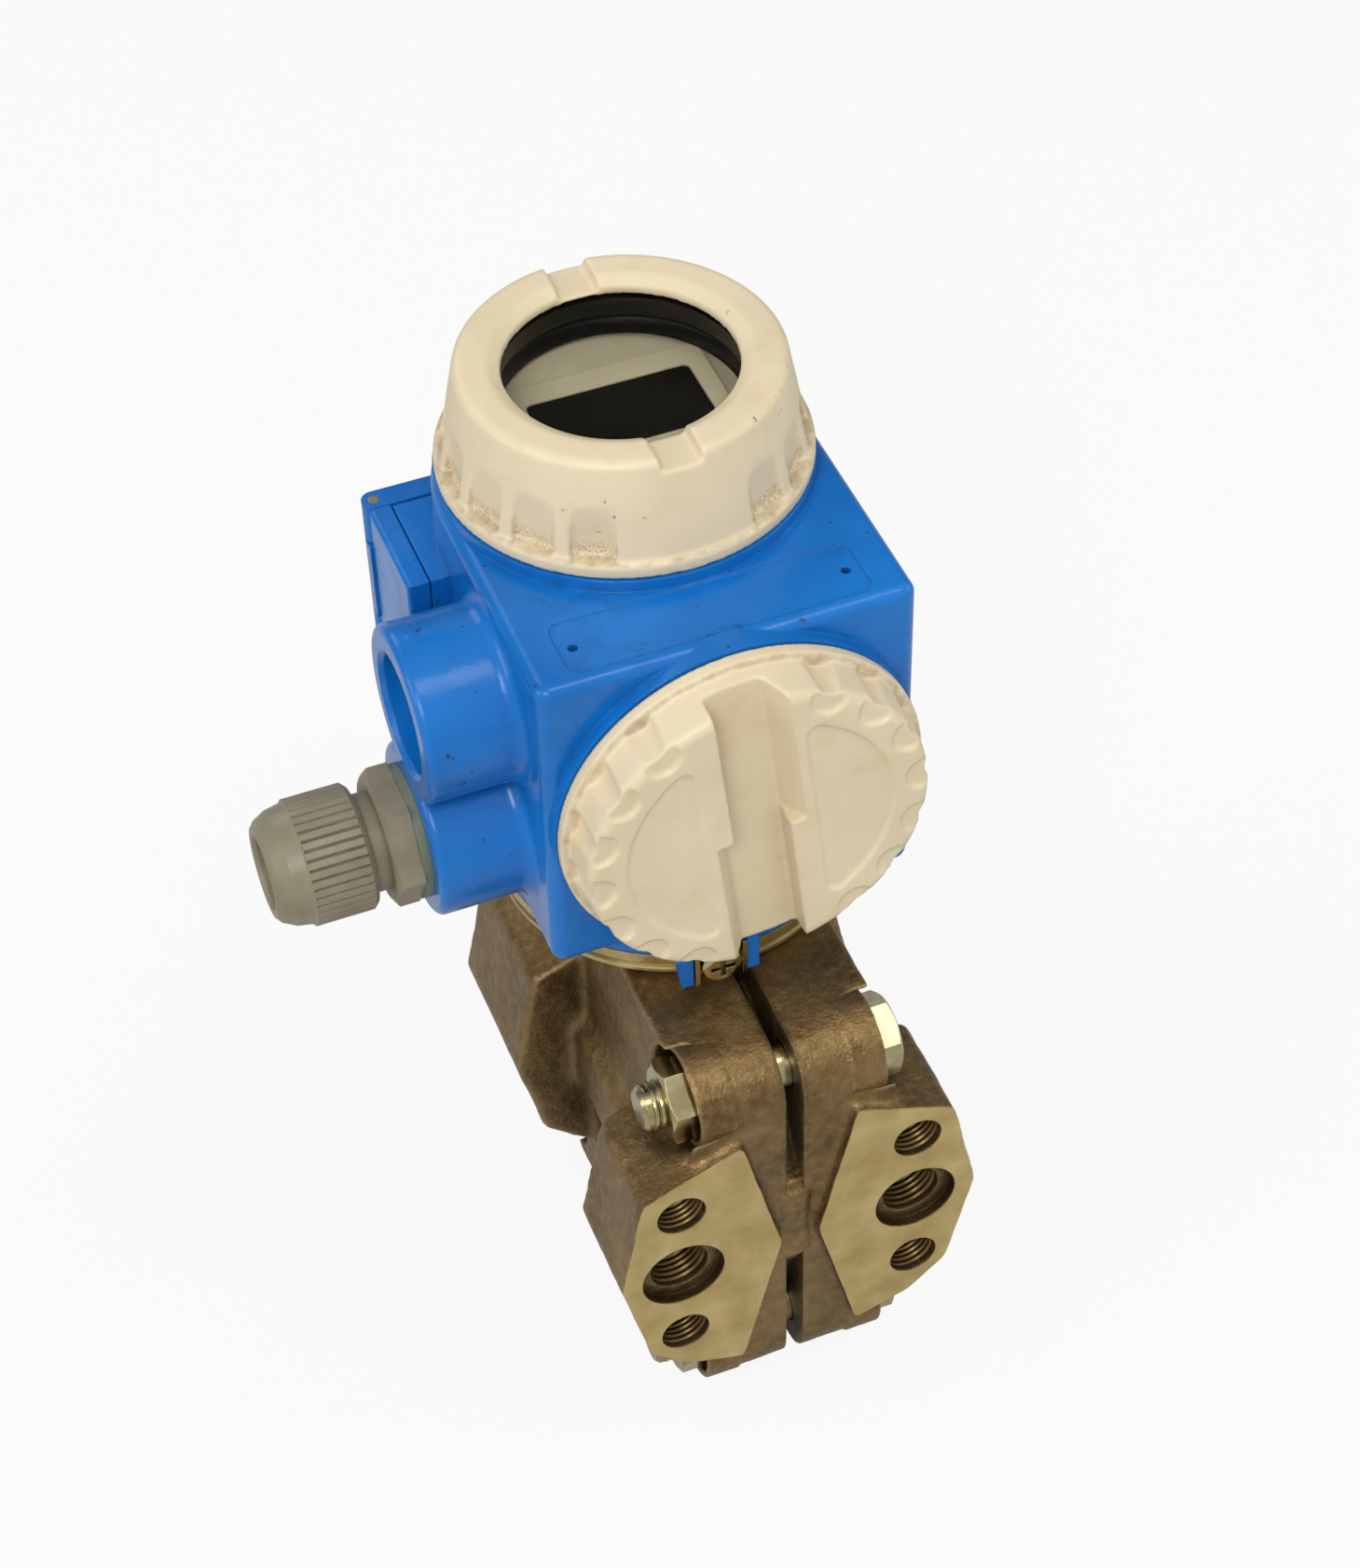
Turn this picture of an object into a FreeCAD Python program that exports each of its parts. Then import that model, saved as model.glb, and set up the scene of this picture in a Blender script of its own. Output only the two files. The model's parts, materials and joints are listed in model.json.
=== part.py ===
"""Differential pressure transmitter with a display cover on top and a terminal cover in front.

Frame: +X to the right, +Y to the back, +Z up, millimetres.  The origin is the centre of the
process bolt pattern, on the two flanges' front faces.
"""
import FreeCAD, Part
import math
import os
import Sketcher

doc = FreeCAD.newDocument("PressureTransmitter")
sheet = doc.addObject("Spreadsheet::Sheet", "Sizes")

SIZES = {
    # process connection on the flanges' front faces
    "port_pitch": 54.0,
    "fixing_pitch": 41.3,
    "fixing_bore": 5.5,
    "fixing_depth": 19.0,
    "port_seat": 9.4,
    "port_seat_depth": 2.6,
    "port_bore": 6.6,
    "port_depth": 21.0,
    "channel_bore": 1.8,
    "channel_back": 18.0,
    # flange castings
    "slot_half": 2.0,
    "flange_depth": 101.0,
    "plate_thick": 18.5,
    "plate_lip": 2.0,
    "plate_inset": 3.0,
    "boss_radius": 11.0,
    "bolt_front": 14.0,
    "bolt_rise": 41.5,
    "front_block": 26.0,
    "rear_block": 34.0,
    "hex_tip": 41.0,
    "hex_root": 4.4,
    "hex_top_inner": 13.0,
    "hex_top_inner_rise": 36.5,
    "hex_top_outer": 35.5,
    "hex_top_outer_rise": 27.0,
    "hex_low_outer": 35.0,
    "hex_low_outer_drop": 25.0,
    "hex_low_corner": 26.0,
    "hex_low_corner_drop": 33.0,
    "hex_low_inner": 13.4,
    "hex_low_inner_drop": 37.0,
    "waist_reach": 27.0,
    "waist_half": 17.0,
    "casting_round": 2.0,
    "seat_radius": 12.0,
    "seat_sink": 3.0,
    "bolt_radius": 5.0,
    "bolt_play": 0.4,
    "bolt_head": 8.5,
    "nut_length": 8.4,
    "bolt_tail": 4.8,
    "hex_across": 16.0,
    # sensor capsule between the flanges
    "capsule_rim": 47.0,
    "capsule_hub": 38.0,
    "capsule_hub_half": 7.5,
    "capsule_play": 0.3,
    "chamber_radius": 34.5,
    "chamber_depth": 1.2,
    "gasket_thick": 1.5,
    "gasket_width": 2.8,
    "diaphragm_sink": 0.8,
    "stem_radius": 7.2,
    "stem_play": 0.6,
    # vent plugs in the rear ports
    "plug_hex": 17.0,
    "plug_head": 7.0,
    "plug_collar": 1.5,
    "plug_tip": 3.0,
    # neck between sensor and housing
    "stem_to_bolt": 15.0,
    "neck_radius": 38.5,
    "neck_gap": 0.7,
    "neck_height": 6.0,
    "neck_groove": 0.9,
    "spigot_radius": 24.0,
    "spigot_height": 6.5,
    "spigot_play": 0.05,
    "turn_gap": 0.3,
    "seal_section": 1.3,
    "neck_seal_sink": 0.4,
    # housing casting
    "housing_half": 39.6,
    "housing_ahead": 36.6,
    "housing_lift": 8.5,
    "housing_height": 77.5,
    "display_behind": 20.5,
    "housing_round": 2.5,
    "collar_radius": 38.9,
    "collar_height": 2.8,
    "collar_root": 4.0,
    "cover_thread": 33.7,
    "cover_thread_depth": 11.0,
    "cover_play": 0.08,
    "seal_pocket": 37.0,
    "seal_pocket_depth": 3.3,
    "electronics_bore": 29.5,
    "electronics_floor": 75.0,
    "terminal_bore": 32.0,
    "terminal_floor": 59.5,
    "cable_way": 9.5,
    "wire_way": 4.0,
    "wire_way_lift": 16.3,
    # cable entries on the left side
    "entry_ahead": 9.0,
    "entry_spacing": 32.6,
    "entry_boss": 18.6,
    "entry_reach": 59.7,
    "entry_round": 1.6,
    "entry_flare": 3.0,
    "entry_mouth": 12.6,
    "entry_mouth_chamfer": 1.0,
    "entry_mouth_depth": 6.0,
    "entry_thread": 9.7,
    "entry_inner": 24.0,
    "wire_pocket_reach": 35.0,
    "wire_pocket_rise": 45.0,
    "wire_pocket_depth": 13.2,
    # bare recess for the plate in front of the display
    "plate_half": 31.6,
    "plate_behind": 3.0,
    "plate_width": 14.8,
    "plate_sink": 0.35,
    "rivet_half": 28.5,
    "rivet_radius": 1.0,
    "rivet_depth": 4.0,
    # covers
    "cover_rim": 38.6,
    "cover_gap": 0.3,
    "cover_rim_height": 3.0,
    "cover_skirt": 8.0,
    "cover_bore": 30.6,
    "grip_count": 18,
    "grip_radius": 4.6,
    "display_height": 24.6,
    "display_wall_low": 37.4,
    "display_wall_high": 33.6,
    "display_top_round": 2.0,
    "display_bevel": 26.5,
    "display_bevel_drop": 1.5,
    "display_opening": 23.8,
    "display_lip": 3.4,
    "display_grip_floor": 35.3,
    "display_grip_half": 7.3,
    "notch_width": 8.6,
    "notch_depth": 2.6,
    "terminal_height": 12.6,
    "terminal_wall_low": 37.1,
    "terminal_wall_high": 36.3,
    "terminal_round": 2.4,
    "terminal_face": 9.6,
    "terminal_grip_circle": 40.0,
    "terminal_dent_circle": 35.0,
    "terminal_dent_radius": 4.0,
    "terminal_dent_sink": 1.0,
    "channel_half": 6.0,
    "channel_depth": 6.5,
    "channel_flare": 3.7,
    "panel_radius": 28.5,
    "panel_chord": 11.6,
    "panel_sink": 0.7,
    "panel_round": 2.5,
    "terminal_cover_angle": 6.0,
    # display window and module
    "glass_radius": 29.8,
    "glass_thick": 2.5,
    "retainer_height": 8.0,
    "retainer_bore": 25.0,
    "retainer_step": 27.4,
    "retainer_play": 0.4,
    "module_radius": 28.6,
    "module_play": 1.2,
    "module_height": 20.0,
    "bezel_half_x": 21.7,
    "bezel_half_y": 15.2,
    "bezel_rise": 1.2,
    "bezel_round": 3.0,
    "lcd_half_x": 17.6,
    "lcd_half_y": 9.4,
    "lcd_sink": 1.0,
    "lcd_thick": 0.7,
    "board_radius": 27.5,
    # terminals
    "block_half": 21.0,
    "block_height": 22.0,
    "block_depth": 12.0,
    "terminal_pitch": 12.0,
    "terminal_screw": 2.6,
    "terminal_screw_head": 3.6,
    "terminal_screw_sink": 4.0,
    # cable gland in the lower entry
    "gland_seal_radius": 14.2,
    "gland_seal_thick": 1.9,
    "gland_across": 26.4,
    "gland_hex": 5.8,
    "gland_neck": 10.4,
    "gland_stem": 9.2,
    "gland_neck_length": 3.4,
    "gland_barrel_length": 14.0,
    "gland_thread_length": 9.0,
    "nut_radius": 13.4,
    "nut_ribbed": 13.2,
    "nut_dome": 7.4,
    "nut_tip_radius": 9.6,
    "nut_hole": 7.6,
    "nut_rib_count": 40,
    "nut_rib_depth": 0.6,
    "insert_bore": 6.0,
    "slip_ring_thick": 1.0,
    "slip_ring_bore": 7.9,
    "slip_ring_play": 0.4,
    # earth terminal under the front
    "lug_middle": -6.0,
    "lug_half": 8.7,
    "lug_ahead": 43.2,
    "lug_drop": 10.8,
    "lug_foot": 0.6,
    "lug_root": 14.3,
    "lug_ear": 2.7,
    "lug_slot_depth": 3.2,
    "lug_channel_margin": 1.0,
    "earth_screw_hold": 5.0,
    "earth_drop": 6.2,
    "clamp_thick": 1.0,
    "clamp_play": 0.2,
    "earth_screw": 2.0,
    "earth_head": 4.5,
    "earth_head_height": 2.6,
    "earth_washer": 4.2,
    "earth_washer_thick": 1.2,
    # key flap on the left side
    "key_behind": 16.0,
    "key_width": 25.0,
    "key_lift": 24.3,
    "key_height": 40.0,
    "key_boss_reach": 44.0,
    "key_gap": 0.3,
    "flap_thick": 4.7,
    "flap_wall": 1.6,
    "hinge_gap": 3.4,
    "hinge_out": 47.0,
    "hinge_radius": 2.6,
    "hinge_pin": 1.2,
    "hinge_play": 0.05,
    "hinge_lug": 10.0,
    "keypad_margin": 3.0,
    "keypad_thick": 1.4,
    "key_radius": 3.2,
    "key_pitch": 10.5,
}


class Size:
    """A length with the spreadsheet expression that gives it."""

    def __init__(self, value, text=None):
        self.value = float(value)
        self.text = repr(round(self.value, 9)) if text is None else text

    def combine(self, sign, other, value):
        other = size(other)
        return Size(value(self.value, other.value), "(%s %s %s)" % (self.text, sign, other.text))

    def __add__(self, other):
        return self.combine("+", other, lambda a, b: a + b)

    def __sub__(self, other):
        return self.combine("-", other, lambda a, b: a - b)

    def __mul__(self, other):
        return self.combine("*", other, lambda a, b: a * b)

    def __truediv__(self, other):
        return self.combine("/", other, lambda a, b: a / b)

    def __neg__(self):
        return Size(-self.value, "(0 - %s)" % self.text)

    __radd__ = __add__
    __rmul__ = __mul__

    def __rsub__(self, other):
        return size(other) - self


def size(number):
    return number if isinstance(number, Size) else Size(number)


def root(number):
    return Size(math.sqrt(number.value), "sqrt(%s)" % number.text)


class Sheet:
    """Gives each spreadsheet value as a Size, by its alias."""

    def __init__(self, table):
        for row, (alias, value) in enumerate(table.items(), 1):
            sheet.set("A%d" % row, alias)
            sheet.set("B%d" % row, str(value))
            sheet.setAlias("B%d" % row, alias)
            setattr(self, alias, Size(value, "Sizes." + alias))


s = Sheet(SIZES)
doc.recompute()
ZERO = Size(0)


# ---------------------------------------------------------------- modelling helpers

def new_body(name):
    body = doc.addObject("PartDesign::Body", name)
    body.Label = name
    return body


def bind(item, prop, value):
    item.setExpression(prop, size(value).text)


def new_sketch(body, role, offset=(0, 0, 0)):
    """A sketch on an origin plane: XY looks up, XZ looks to the front, YZ looks right."""
    plane = next(f for f in body.Origin.OriginFeatures if f.Role == role + "_Plane")
    sketch = body.newObject("Sketcher::SketchObject", "Sketch")
    sketch.AttachmentSupport = [(plane, "")]
    sketch.MapMode = "FlatFace"
    for letter, value in zip("xyz", offset):
        bind(sketch, "AttachmentOffset.Base." + letter, value)
    return sketch


def pin(sketch, geo, pos, place, axes="XY"):
    """Fix a point of the sketch at a place given by two sizes."""
    for axis, value in zip("XY", place):
        if axis in axes:
            value = size(value)
            rule = Sketcher.Constraint("Distance" + axis, -1, 1, geo, pos, value.value)
            index = sketch.addConstraint(rule)
            sketch.setExpression("Constraints[%d]" % index, value.text)


def outline(sketch, corners):
    """A closed outline through the corners.

    A corner is (x, y), reached along a line, or (x, y, centre x, centre y, turn), reached along
    an arc about that centre; turn is 1 for anticlockwise and -1 for clockwise.
    """
    corners = [tuple(size(v) for v in c[:4]) + tuple(c[4:]) for c in corners]
    ends = []
    for here, there in zip(corners, corners[1:] + corners[:1]):
        start = FreeCAD.Vector(here[0].value, here[1].value, 0)
        stop = FreeCAD.Vector(there[0].value, there[1].value, 0)
        if len(there) == 2:
            geo = sketch.addGeometry(Part.LineSegment(start, stop))
            ends.append((geo, 1, 2))
            continue
        middle = FreeCAD.Vector(there[2].value, there[3].value, 0)
        first, last = (start, stop) if there[4] > 0 else (stop, start)
        angles = [math.atan2(p.y - middle.y, p.x - middle.x) for p in (first, last)]
        ring = Part.Circle(middle, FreeCAD.Vector(0, 0, 1), (start - middle).Length)
        geo = sketch.addGeometry(Part.ArcOfCircle(ring, *angles))
        ends.append((geo, 1, 2) if there[4] > 0 else (geo, 2, 1))
        flat = abs(stop.x - start.x) >= abs(stop.y - start.y)
        pin(sketch, geo, 3, there[2:4], "Y" if flat else "X")
    for index, (geo, start, stop) in enumerate(ends):
        following = ends[(index + 1) % len(ends)]
        sketch.addConstraint(Sketcher.Constraint("Coincident", geo, stop, following[0], following[1]))
        pin(sketch, geo, start, corners[index][:2])


def box(sketch, x_low, x_high, y_low, y_high):
    outline(sketch, [(x_low, y_low), (x_high, y_low), (x_high, y_high), (x_low, y_high)])


def circle(sketch, x, y, radius):
    x, y, radius = size(x), size(y), size(radius)
    middle = FreeCAD.Vector(x.value, y.value, 0)
    geo = sketch.addGeometry(Part.Circle(middle, FreeCAD.Vector(0, 0, 1), radius.value))
    pin(sketch, geo, 3, (x, y))
    index = sketch.addConstraint(Sketcher.Constraint("Radius", geo, radius.value))
    sketch.setExpression("Constraints[%d]" % index, radius.text)


def hexagon(sketch, x, y, across, upright=False):
    """A hexagon given its width across the flats; two corners are level, or upright ones."""
    reach = across / root(Size(3))
    half = across / 2
    ring = [(reach, ZERO), (reach / 2, half), (-reach / 2, half),
            (-reach, ZERO), (-reach / 2, -half), (reach / 2, -half)]
    outline(sketch, [(x + b, y + a) if upright else (x + a, y + b) for a, b in ring])


def extrude(body, sketch, kind, length, reverse):
    feature = body.newObject("PartDesign::" + kind, kind)
    feature.Profile = sketch
    feature.Reversed = reverse
    bind(feature, "Length", length)
    before = body.Shape.Volume if kind == "Pocket" else 0
    doc.recompute()
    if kind == "Pocket" and not body.Shape.Volume < before - 1e-6:
        raise RuntimeError("%s: a pocket removes nothing" % body.Label)
    return feature


def pad(body, sketch, length, reverse=False):
    """Adds along the sketch's normal: up, to the front or to the right."""
    return extrude(body, sketch, "Pad", length, reverse)


def pocket(body, sketch, length, reverse=False):
    """Cuts against the sketch's normal: down, to the back or to the left."""
    return extrude(body, sketch, "Pocket", length, reverse)


def turn(body, sketch, axis, kind="Revolution"):
    """Revolves a sketch about its H_Axis or V_Axis; kind Groove cuts."""
    feature = body.newObject("PartDesign::" + kind, kind)
    feature.Profile = sketch
    feature.ReferenceAxis = (sketch, [axis])
    feature.Angle = 360
    doc.recompute()
    return feature


def blend(body, kind, amount, wanted):
    """A Fillet or Chamfer on the edges that the wanted() test accepts."""
    base = body.Tip
    names = ["Edge%d" % i for i, edge in enumerate(base.Shape.Edges, 1) if wanted(edge)]
    if not names:
        raise RuntimeError("%s: no edge to blend" % body.Label)
    feature = body.newObject("PartDesign::" + kind, kind)
    feature.Base = (base, names)
    bind(feature, "Radius" if kind == "Fillet" else "Size", amount)
    doc.recompute()
    return feature


def along(edge, axis):
    """True for a straight edge that runs along the axis X, Y or Z."""
    if not isinstance(edge.Curve, Part.Line):
        return False
    return abs(abs(getattr(edge.Curve.Direction, axis.lower())) - 1) < 1e-6


def polar(body, features, sketch, axis, count):
    """Repeats features evenly about an axis of the sketch."""
    pattern = body.newObject("PartDesign::PolarPattern", "PolarPattern")
    pattern.Originals = features
    pattern.Axis = (sketch, [axis])
    pattern.Angle = 360
    bind(pattern, "Occurrences", count)
    body.Tip = pattern
    doc.recompute()
    return pattern


# ---------------------------------------------------------------- places worked out once

bolt_back = s.flange_depth - s.bolt_front
flange_top = s.bolt_rise + s.boss_radius
neck_back = bolt_back - s.stem_to_bolt
neck_base = flange_top + s.neck_gap
neck_top = neck_base + s.neck_height
housing_base = neck_top + s.housing_lift
housing_top = housing_base + s.housing_height
housing_front = neck_back - s.housing_ahead
display_back = neck_back + s.display_behind
entry_back = neck_back - s.entry_ahead
plate_front = housing_front + s.plate_behind
lug_front = neck_back - s.lug_ahead
key_front = neck_back + s.key_behind
key_base = housing_base + s.key_lift
earth_rise = housing_base - s.earth_drop
wire_way_rise = housing_base + s.wire_way_lift
sensor_middle = s.flange_depth / 2
bolt_places = [(back, rise * s.bolt_rise) for back in (s.bolt_front, bolt_back) for rise in (1, -1)]
port_half = s.port_pitch / 2
seat_face = s.slot_half + s.plate_thick - s.seat_sink
collar_top = housing_top + s.collar_height
collar_front = housing_front - s.collar_height
housing_middle = (housing_base + housing_top) / 2
entry_rises = [housing_middle + s.entry_spacing / 2, housing_middle - s.entry_spacing / 2]
cover_base = collar_top + s.cover_gap
cover_top = cover_base + s.display_height
glass_top = cover_top - s.display_lip
retainer_base = glass_top - s.glass_thick - s.retainer_height
module_face = retainer_base - s.module_play - s.bezel_rise
cap_base = collar_front - s.cover_gap
cap_face = cap_base - s.terminal_height
gland_seat = s.entry_reach + s.gland_seal_thick
gland_shoulder = gland_seat + s.gland_hex
nut_start = gland_shoulder + s.gland_neck_length
slip_ring_face = gland_shoulder + s.gland_barrel_length + s.turn_gap
lug_low = housing_base - s.lug_drop
lug_top = housing_middle - s.cover_rim - s.cover_gap
lug_channel_top = lug_top - s.lug_channel_margin
key_back = key_front + s.key_width
hinge_back = key_back + s.hinge_gap
key_top = key_base + s.key_height
key_middle = (key_base + key_top) / 2
flap_inner = s.key_boss_reach + s.key_gap
flap_outer = flap_inner + s.flap_thick


# ---------------------------------------------------------------- flanges, sensor and bolts

def hex_face(side):
    """Outline of a flange's machined front face; side is -1 on the left and 1 on the right."""
    return [(side * s.hex_root, ZERO),
            (side * s.hex_top_inner, s.hex_top_inner_rise),
            (side * s.hex_top_outer, s.hex_top_outer_rise),
            (side * s.hex_tip, ZERO),
            (side * s.hex_low_outer, -s.hex_low_outer_drop),
            (side * s.hex_low_corner, -s.hex_low_corner_drop),
            (side * s.hex_low_inner, -s.hex_low_inner_drop)]


def flange(name, side):
    body = new_body(name)
    outward = side < 0
    plate = new_sketch(body, "YZ", (0, 0, side * s.slot_half))
    box(plate, s.plate_inset, s.flange_depth - s.plate_inset, -flange_top, flange_top)
    pad(body, plate, s.plate_thick, outward)
    blend(body, "Fillet", s.boss_radius, lambda e: along(e, "X"))
    plate_face = (s.slot_half + s.plate_thick).value
    blend(body, "Fillet", s.plate_lip, lambda e: abs(abs(e.CenterOfMass.x) - plate_face) < 1e-3)
    for start, depth in ((ZERO, s.front_block), (s.flange_depth - s.rear_block, s.rear_block)):
        block = new_sketch(body, "XZ", (0, 0, -start))
        outline(block, hex_face(side))
        pad(body, block, depth, True)
    waist = new_sketch(body, "XZ", (0, 0, -s.front_block))
    reach = [side * (s.slot_half + s.plate_thick), side * s.waist_reach]
    outline(waist, [(reach[0], -s.waist_half), (reach[1], -s.waist_half / 2),
                    (reach[1], s.waist_half / 2), (reach[0], s.waist_half)])
    pad(body, waist, s.flange_depth - s.rear_block - s.front_block, True)

    def outer_corner(edge):
        middle = edge.CenterOfMass
        inner = (s.slot_half + s.plate_thick).value + 1
        return along(edge, "Y") and abs(middle.x) > inner
    blend(body, "Fillet", s.casting_round, outer_corner)

    for back, rise in bolt_places:
        seat = new_sketch(body, "YZ", (0, 0, side * seat_face))
        circle(seat, back, rise, s.seat_radius)
        pocket(body, seat, s.hex_tip, not outward)
        hole = new_sketch(body, "YZ", (0, 0, side * seat_face))
        circle(hole, back, rise, s.bolt_radius + s.bolt_play)
        pocket(body, hole, seat_face, outward)

    for start, into in ((ZERO, 1), (s.flange_depth, -1)):
        drill = new_sketch(body, "XZ", (side * port_half, 0, -start))
        circle(drill, 0, 0, s.port_bore)
        pocket(body, drill, s.port_depth, into < 0)
        for rise in (-1, 1):
            thread = new_sketch(body, "XZ", (side * port_half, rise * s.fixing_pitch / 2, -start))
            circle(thread, 0, 0, s.fixing_bore)
            pocket(body, thread, s.fixing_depth, into < 0)
        seat = new_sketch(body, "XZ", (side * port_half, 0, -start))
        circle(seat, 0, 0, s.port_seat)
        pocket(body, seat, s.port_seat_depth, into < 0)
        channel = new_sketch(body, "YZ", (start + into * s.channel_back, 0, side * s.slot_half))
        circle(channel, 0, 0, s.channel_bore)
        pocket(body, channel, port_half - s.slot_half, not outward)

    recess = new_sketch(body, "YZ", (sensor_middle, 0, side * s.slot_half))
    circle(recess, 0, 0, s.capsule_hub + s.capsule_play)
    pocket(body, recess, s.capsule_hub_half + s.gasket_thick - s.slot_half, not outward)
    chamber = new_sketch(body, "YZ", (sensor_middle, 0, side * s.slot_half))
    circle(chamber, 0, 0, s.chamber_radius)
    pocket(body, chamber, s.capsule_hub_half + s.gasket_thick + s.chamber_depth - s.slot_half,
           not outward)
    way = new_sketch(body, "XY", (0, neck_back, s.bolt_rise + s.boss_radius))
    circle(way, 0, 0, s.stem_radius + s.stem_play)
    pocket(body, way, flange_top)
    return body


def sensor_body():
    body = new_body("sensor_body")
    profile = new_sketch(body, "XZ", (0, 0, -sensor_middle))
    hub, rim = s.capsule_hub_half, s.slot_half
    face = s.chamber_radius - s.gasket_width
    outline(profile, [(-hub + s.diaphragm_sink, ZERO), (hub - s.diaphragm_sink, ZERO),
                      (hub - s.diaphragm_sink, face), (hub, face), (hub, s.capsule_hub),
                      (rim, s.capsule_hub), (rim, s.capsule_rim), (-rim, s.capsule_rim),
                      (-rim, s.capsule_hub), (-hub, s.capsule_hub), (-hub, face),
                      (-hub + s.diaphragm_sink, face)])
    turn(body, profile, "H_Axis")
    stem = new_sketch(body, "XY", (0, neck_back, s.bolt_rise / 2))
    circle(stem, 0, 0, s.stem_radius)
    pad(body, stem, neck_base - s.bolt_rise / 2)
    return body


def gasket(name, side):
    body = new_body(name)
    ring = new_sketch(body, "YZ", (sensor_middle, 0, side * s.capsule_hub_half))
    circle(ring, 0, 0, s.chamber_radius + s.gasket_width)
    circle(ring, 0, 0, s.chamber_radius)
    pad(body, ring, s.gasket_thick, side < 0)
    return body


def clamp_bolt(name, back, rise):
    body = new_body(name)
    head = new_sketch(body, "YZ", (back, rise, seat_face))
    hexagon(head, 0, 0, s.hex_across, True)
    pad(body, head, s.bolt_head)
    shank = new_sketch(body, "YZ", (back, rise, seat_face))
    circle(shank, 0, 0, s.bolt_radius)
    pad(body, shank, seat_face * 2 + s.nut_length + s.bolt_tail, True)

    def tail(edge):
        return isinstance(edge.Curve, Part.Circle) and edge.CenterOfMass.x < -seat_face.value
    blend(body, "Chamfer", s.bolt_radius / 6, tail)
    round_corners(body, (back, rise), seat_face + s.bolt_head, s.hex_across, 1)
    return body


def round_corners(body, middle, face, across, side):
    """Turns the corners off a hexagon along X at its outer face, at 30 degrees."""
    cut = new_sketch(body, "XZ", (0, middle[1], -middle[0]))
    flat = across / 2 * 0.96
    corner = across / root(Size(3)) + 1
    drop = (corner - flat) / root(Size(3))
    outline(cut, [(side * face, flat), (side * (face - drop), corner), (side * (face + 1), corner),
                  (side * (face + 1), flat)])
    turn(body, cut, "H_Axis", "Groove")


def clamp_nut(name, back, rise):
    body = new_body(name)
    nut = new_sketch(body, "YZ", (back, rise, -seat_face))
    hexagon(nut, 0, 0, s.hex_across, True)
    circle(nut, 0, 0, s.bolt_radius)
    pad(body, nut, s.nut_length, True)
    round_corners(body, (back, rise), seat_face + s.nut_length, s.hex_across, -1)
    return body


def vent_plug(name, side):
    """Plug that closes a flange's rear port."""
    body = new_body(name)
    face = s.flange_depth - s.port_seat_depth
    profile = new_sketch(body, "XY", (side * port_half, 0, 0))
    end = face - s.port_depth / 2
    outline(profile, [(ZERO, end), (s.port_bore, end), (s.port_bore, face),
                      (s.port_seat - s.capsule_play, face),
                      (s.port_seat - s.capsule_play, face + s.port_seat_depth + s.plug_collar),
                      (ZERO, face + s.port_seat_depth + s.plug_collar)])
    turn(body, profile, "V_Axis")
    head_face = s.flange_depth + s.plug_collar
    head = new_sketch(body, "XZ", (side * port_half, 0, -head_face))
    hexagon(head, 0, 0, s.plug_hex)
    pad(body, head, s.plug_head, True)
    tip = new_sketch(body, "XZ", (side * port_half, 0, -(head_face + s.plug_head)))
    circle(tip, 0, 0, s.port_bore / 2)
    pad(body, tip, s.plug_tip, True)
    return body


def neck_ring():
    body = new_body("neck_ring")
    profile = new_sketch(body, "XZ", (0, 0, -neck_back))
    r, low, high = s.neck_radius, neck_base, neck_top
    third = s.neck_height / 3
    seal_mid = neck_top + s.spigot_height / 2
    trench = s.spigot_radius - s.seal_section * 2 - s.neck_seal_sink
    half = s.seal_section + s.neck_seal_sink / 2
    outline(profile, [(ZERO, low), (r - s.neck_groove, low), (r, low + third / 2),
                      (r, low + third), (r - s.neck_groove, low + third * 1.25),
                      (r - s.neck_groove, low + third * 1.5), (r, low + third * 1.75),
                      (r, high), (s.spigot_radius, high),
                      (s.spigot_radius, seal_mid - half), (trench, seal_mid - half),
                      (trench, seal_mid + half), (s.spigot_radius, seal_mid + half),
                      (s.spigot_radius, high + s.spigot_height), (ZERO, high + s.spigot_height)])
    turn(body, profile, "V_Axis")
    return body


def ring_seal(name, role, offset, radius, place, axis):
    """An O-ring of the common section about an axis of its sketch."""
    body = new_body(name)
    profile = new_sketch(body, role, offset)
    centre = (radius, place) if axis == "V_Axis" else (place, radius)
    circle(profile, centre[0], centre[1], s.seal_section)
    turn(body, profile, axis)
    return body


# ---------------------------------------------------------------- housing

def housing_shell(body):
    plan = new_sketch(body, "XY", (0, 0, housing_base))
    w, front, back = s.housing_half, housing_front, display_back
    outline(plan, [(-w, front), (w, front), (w, back), (-w, back, ZERO, back, 1)])
    pad(body, plan, housing_top - housing_base)
    blend(body, "Fillet", s.housing_round * 1.2,
          lambda e: along(e, "Z") and e.CenterOfMass.y < housing_front.value + 1)
    blend(body, "Fillet", s.housing_round,
          lambda e: min(abs(e.BoundBox.ZMin - housing_base.value),
                        abs(e.BoundBox.ZMax - housing_top.value)) < 1e-3
          and e.BoundBox.ZLength < 1e-3)
    collar = new_sketch(body, "XY", (0, display_back, housing_top - s.collar_root))
    circle(collar, 0, 0, s.collar_radius)
    pad(body, collar, s.collar_root + s.collar_height)
    collar = new_sketch(body, "XZ", (0, housing_middle, -(housing_front + s.collar_root)))
    circle(collar, 0, 0, s.collar_radius)
    pad(body, collar, s.collar_root + s.collar_height)
    foot = new_sketch(body, "XY", (0, neck_back, neck_top + s.turn_gap))
    circle(foot, 0, 0, s.neck_radius)
    pad(body, foot, housing_base + s.collar_root - neck_top - s.turn_gap)


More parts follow.
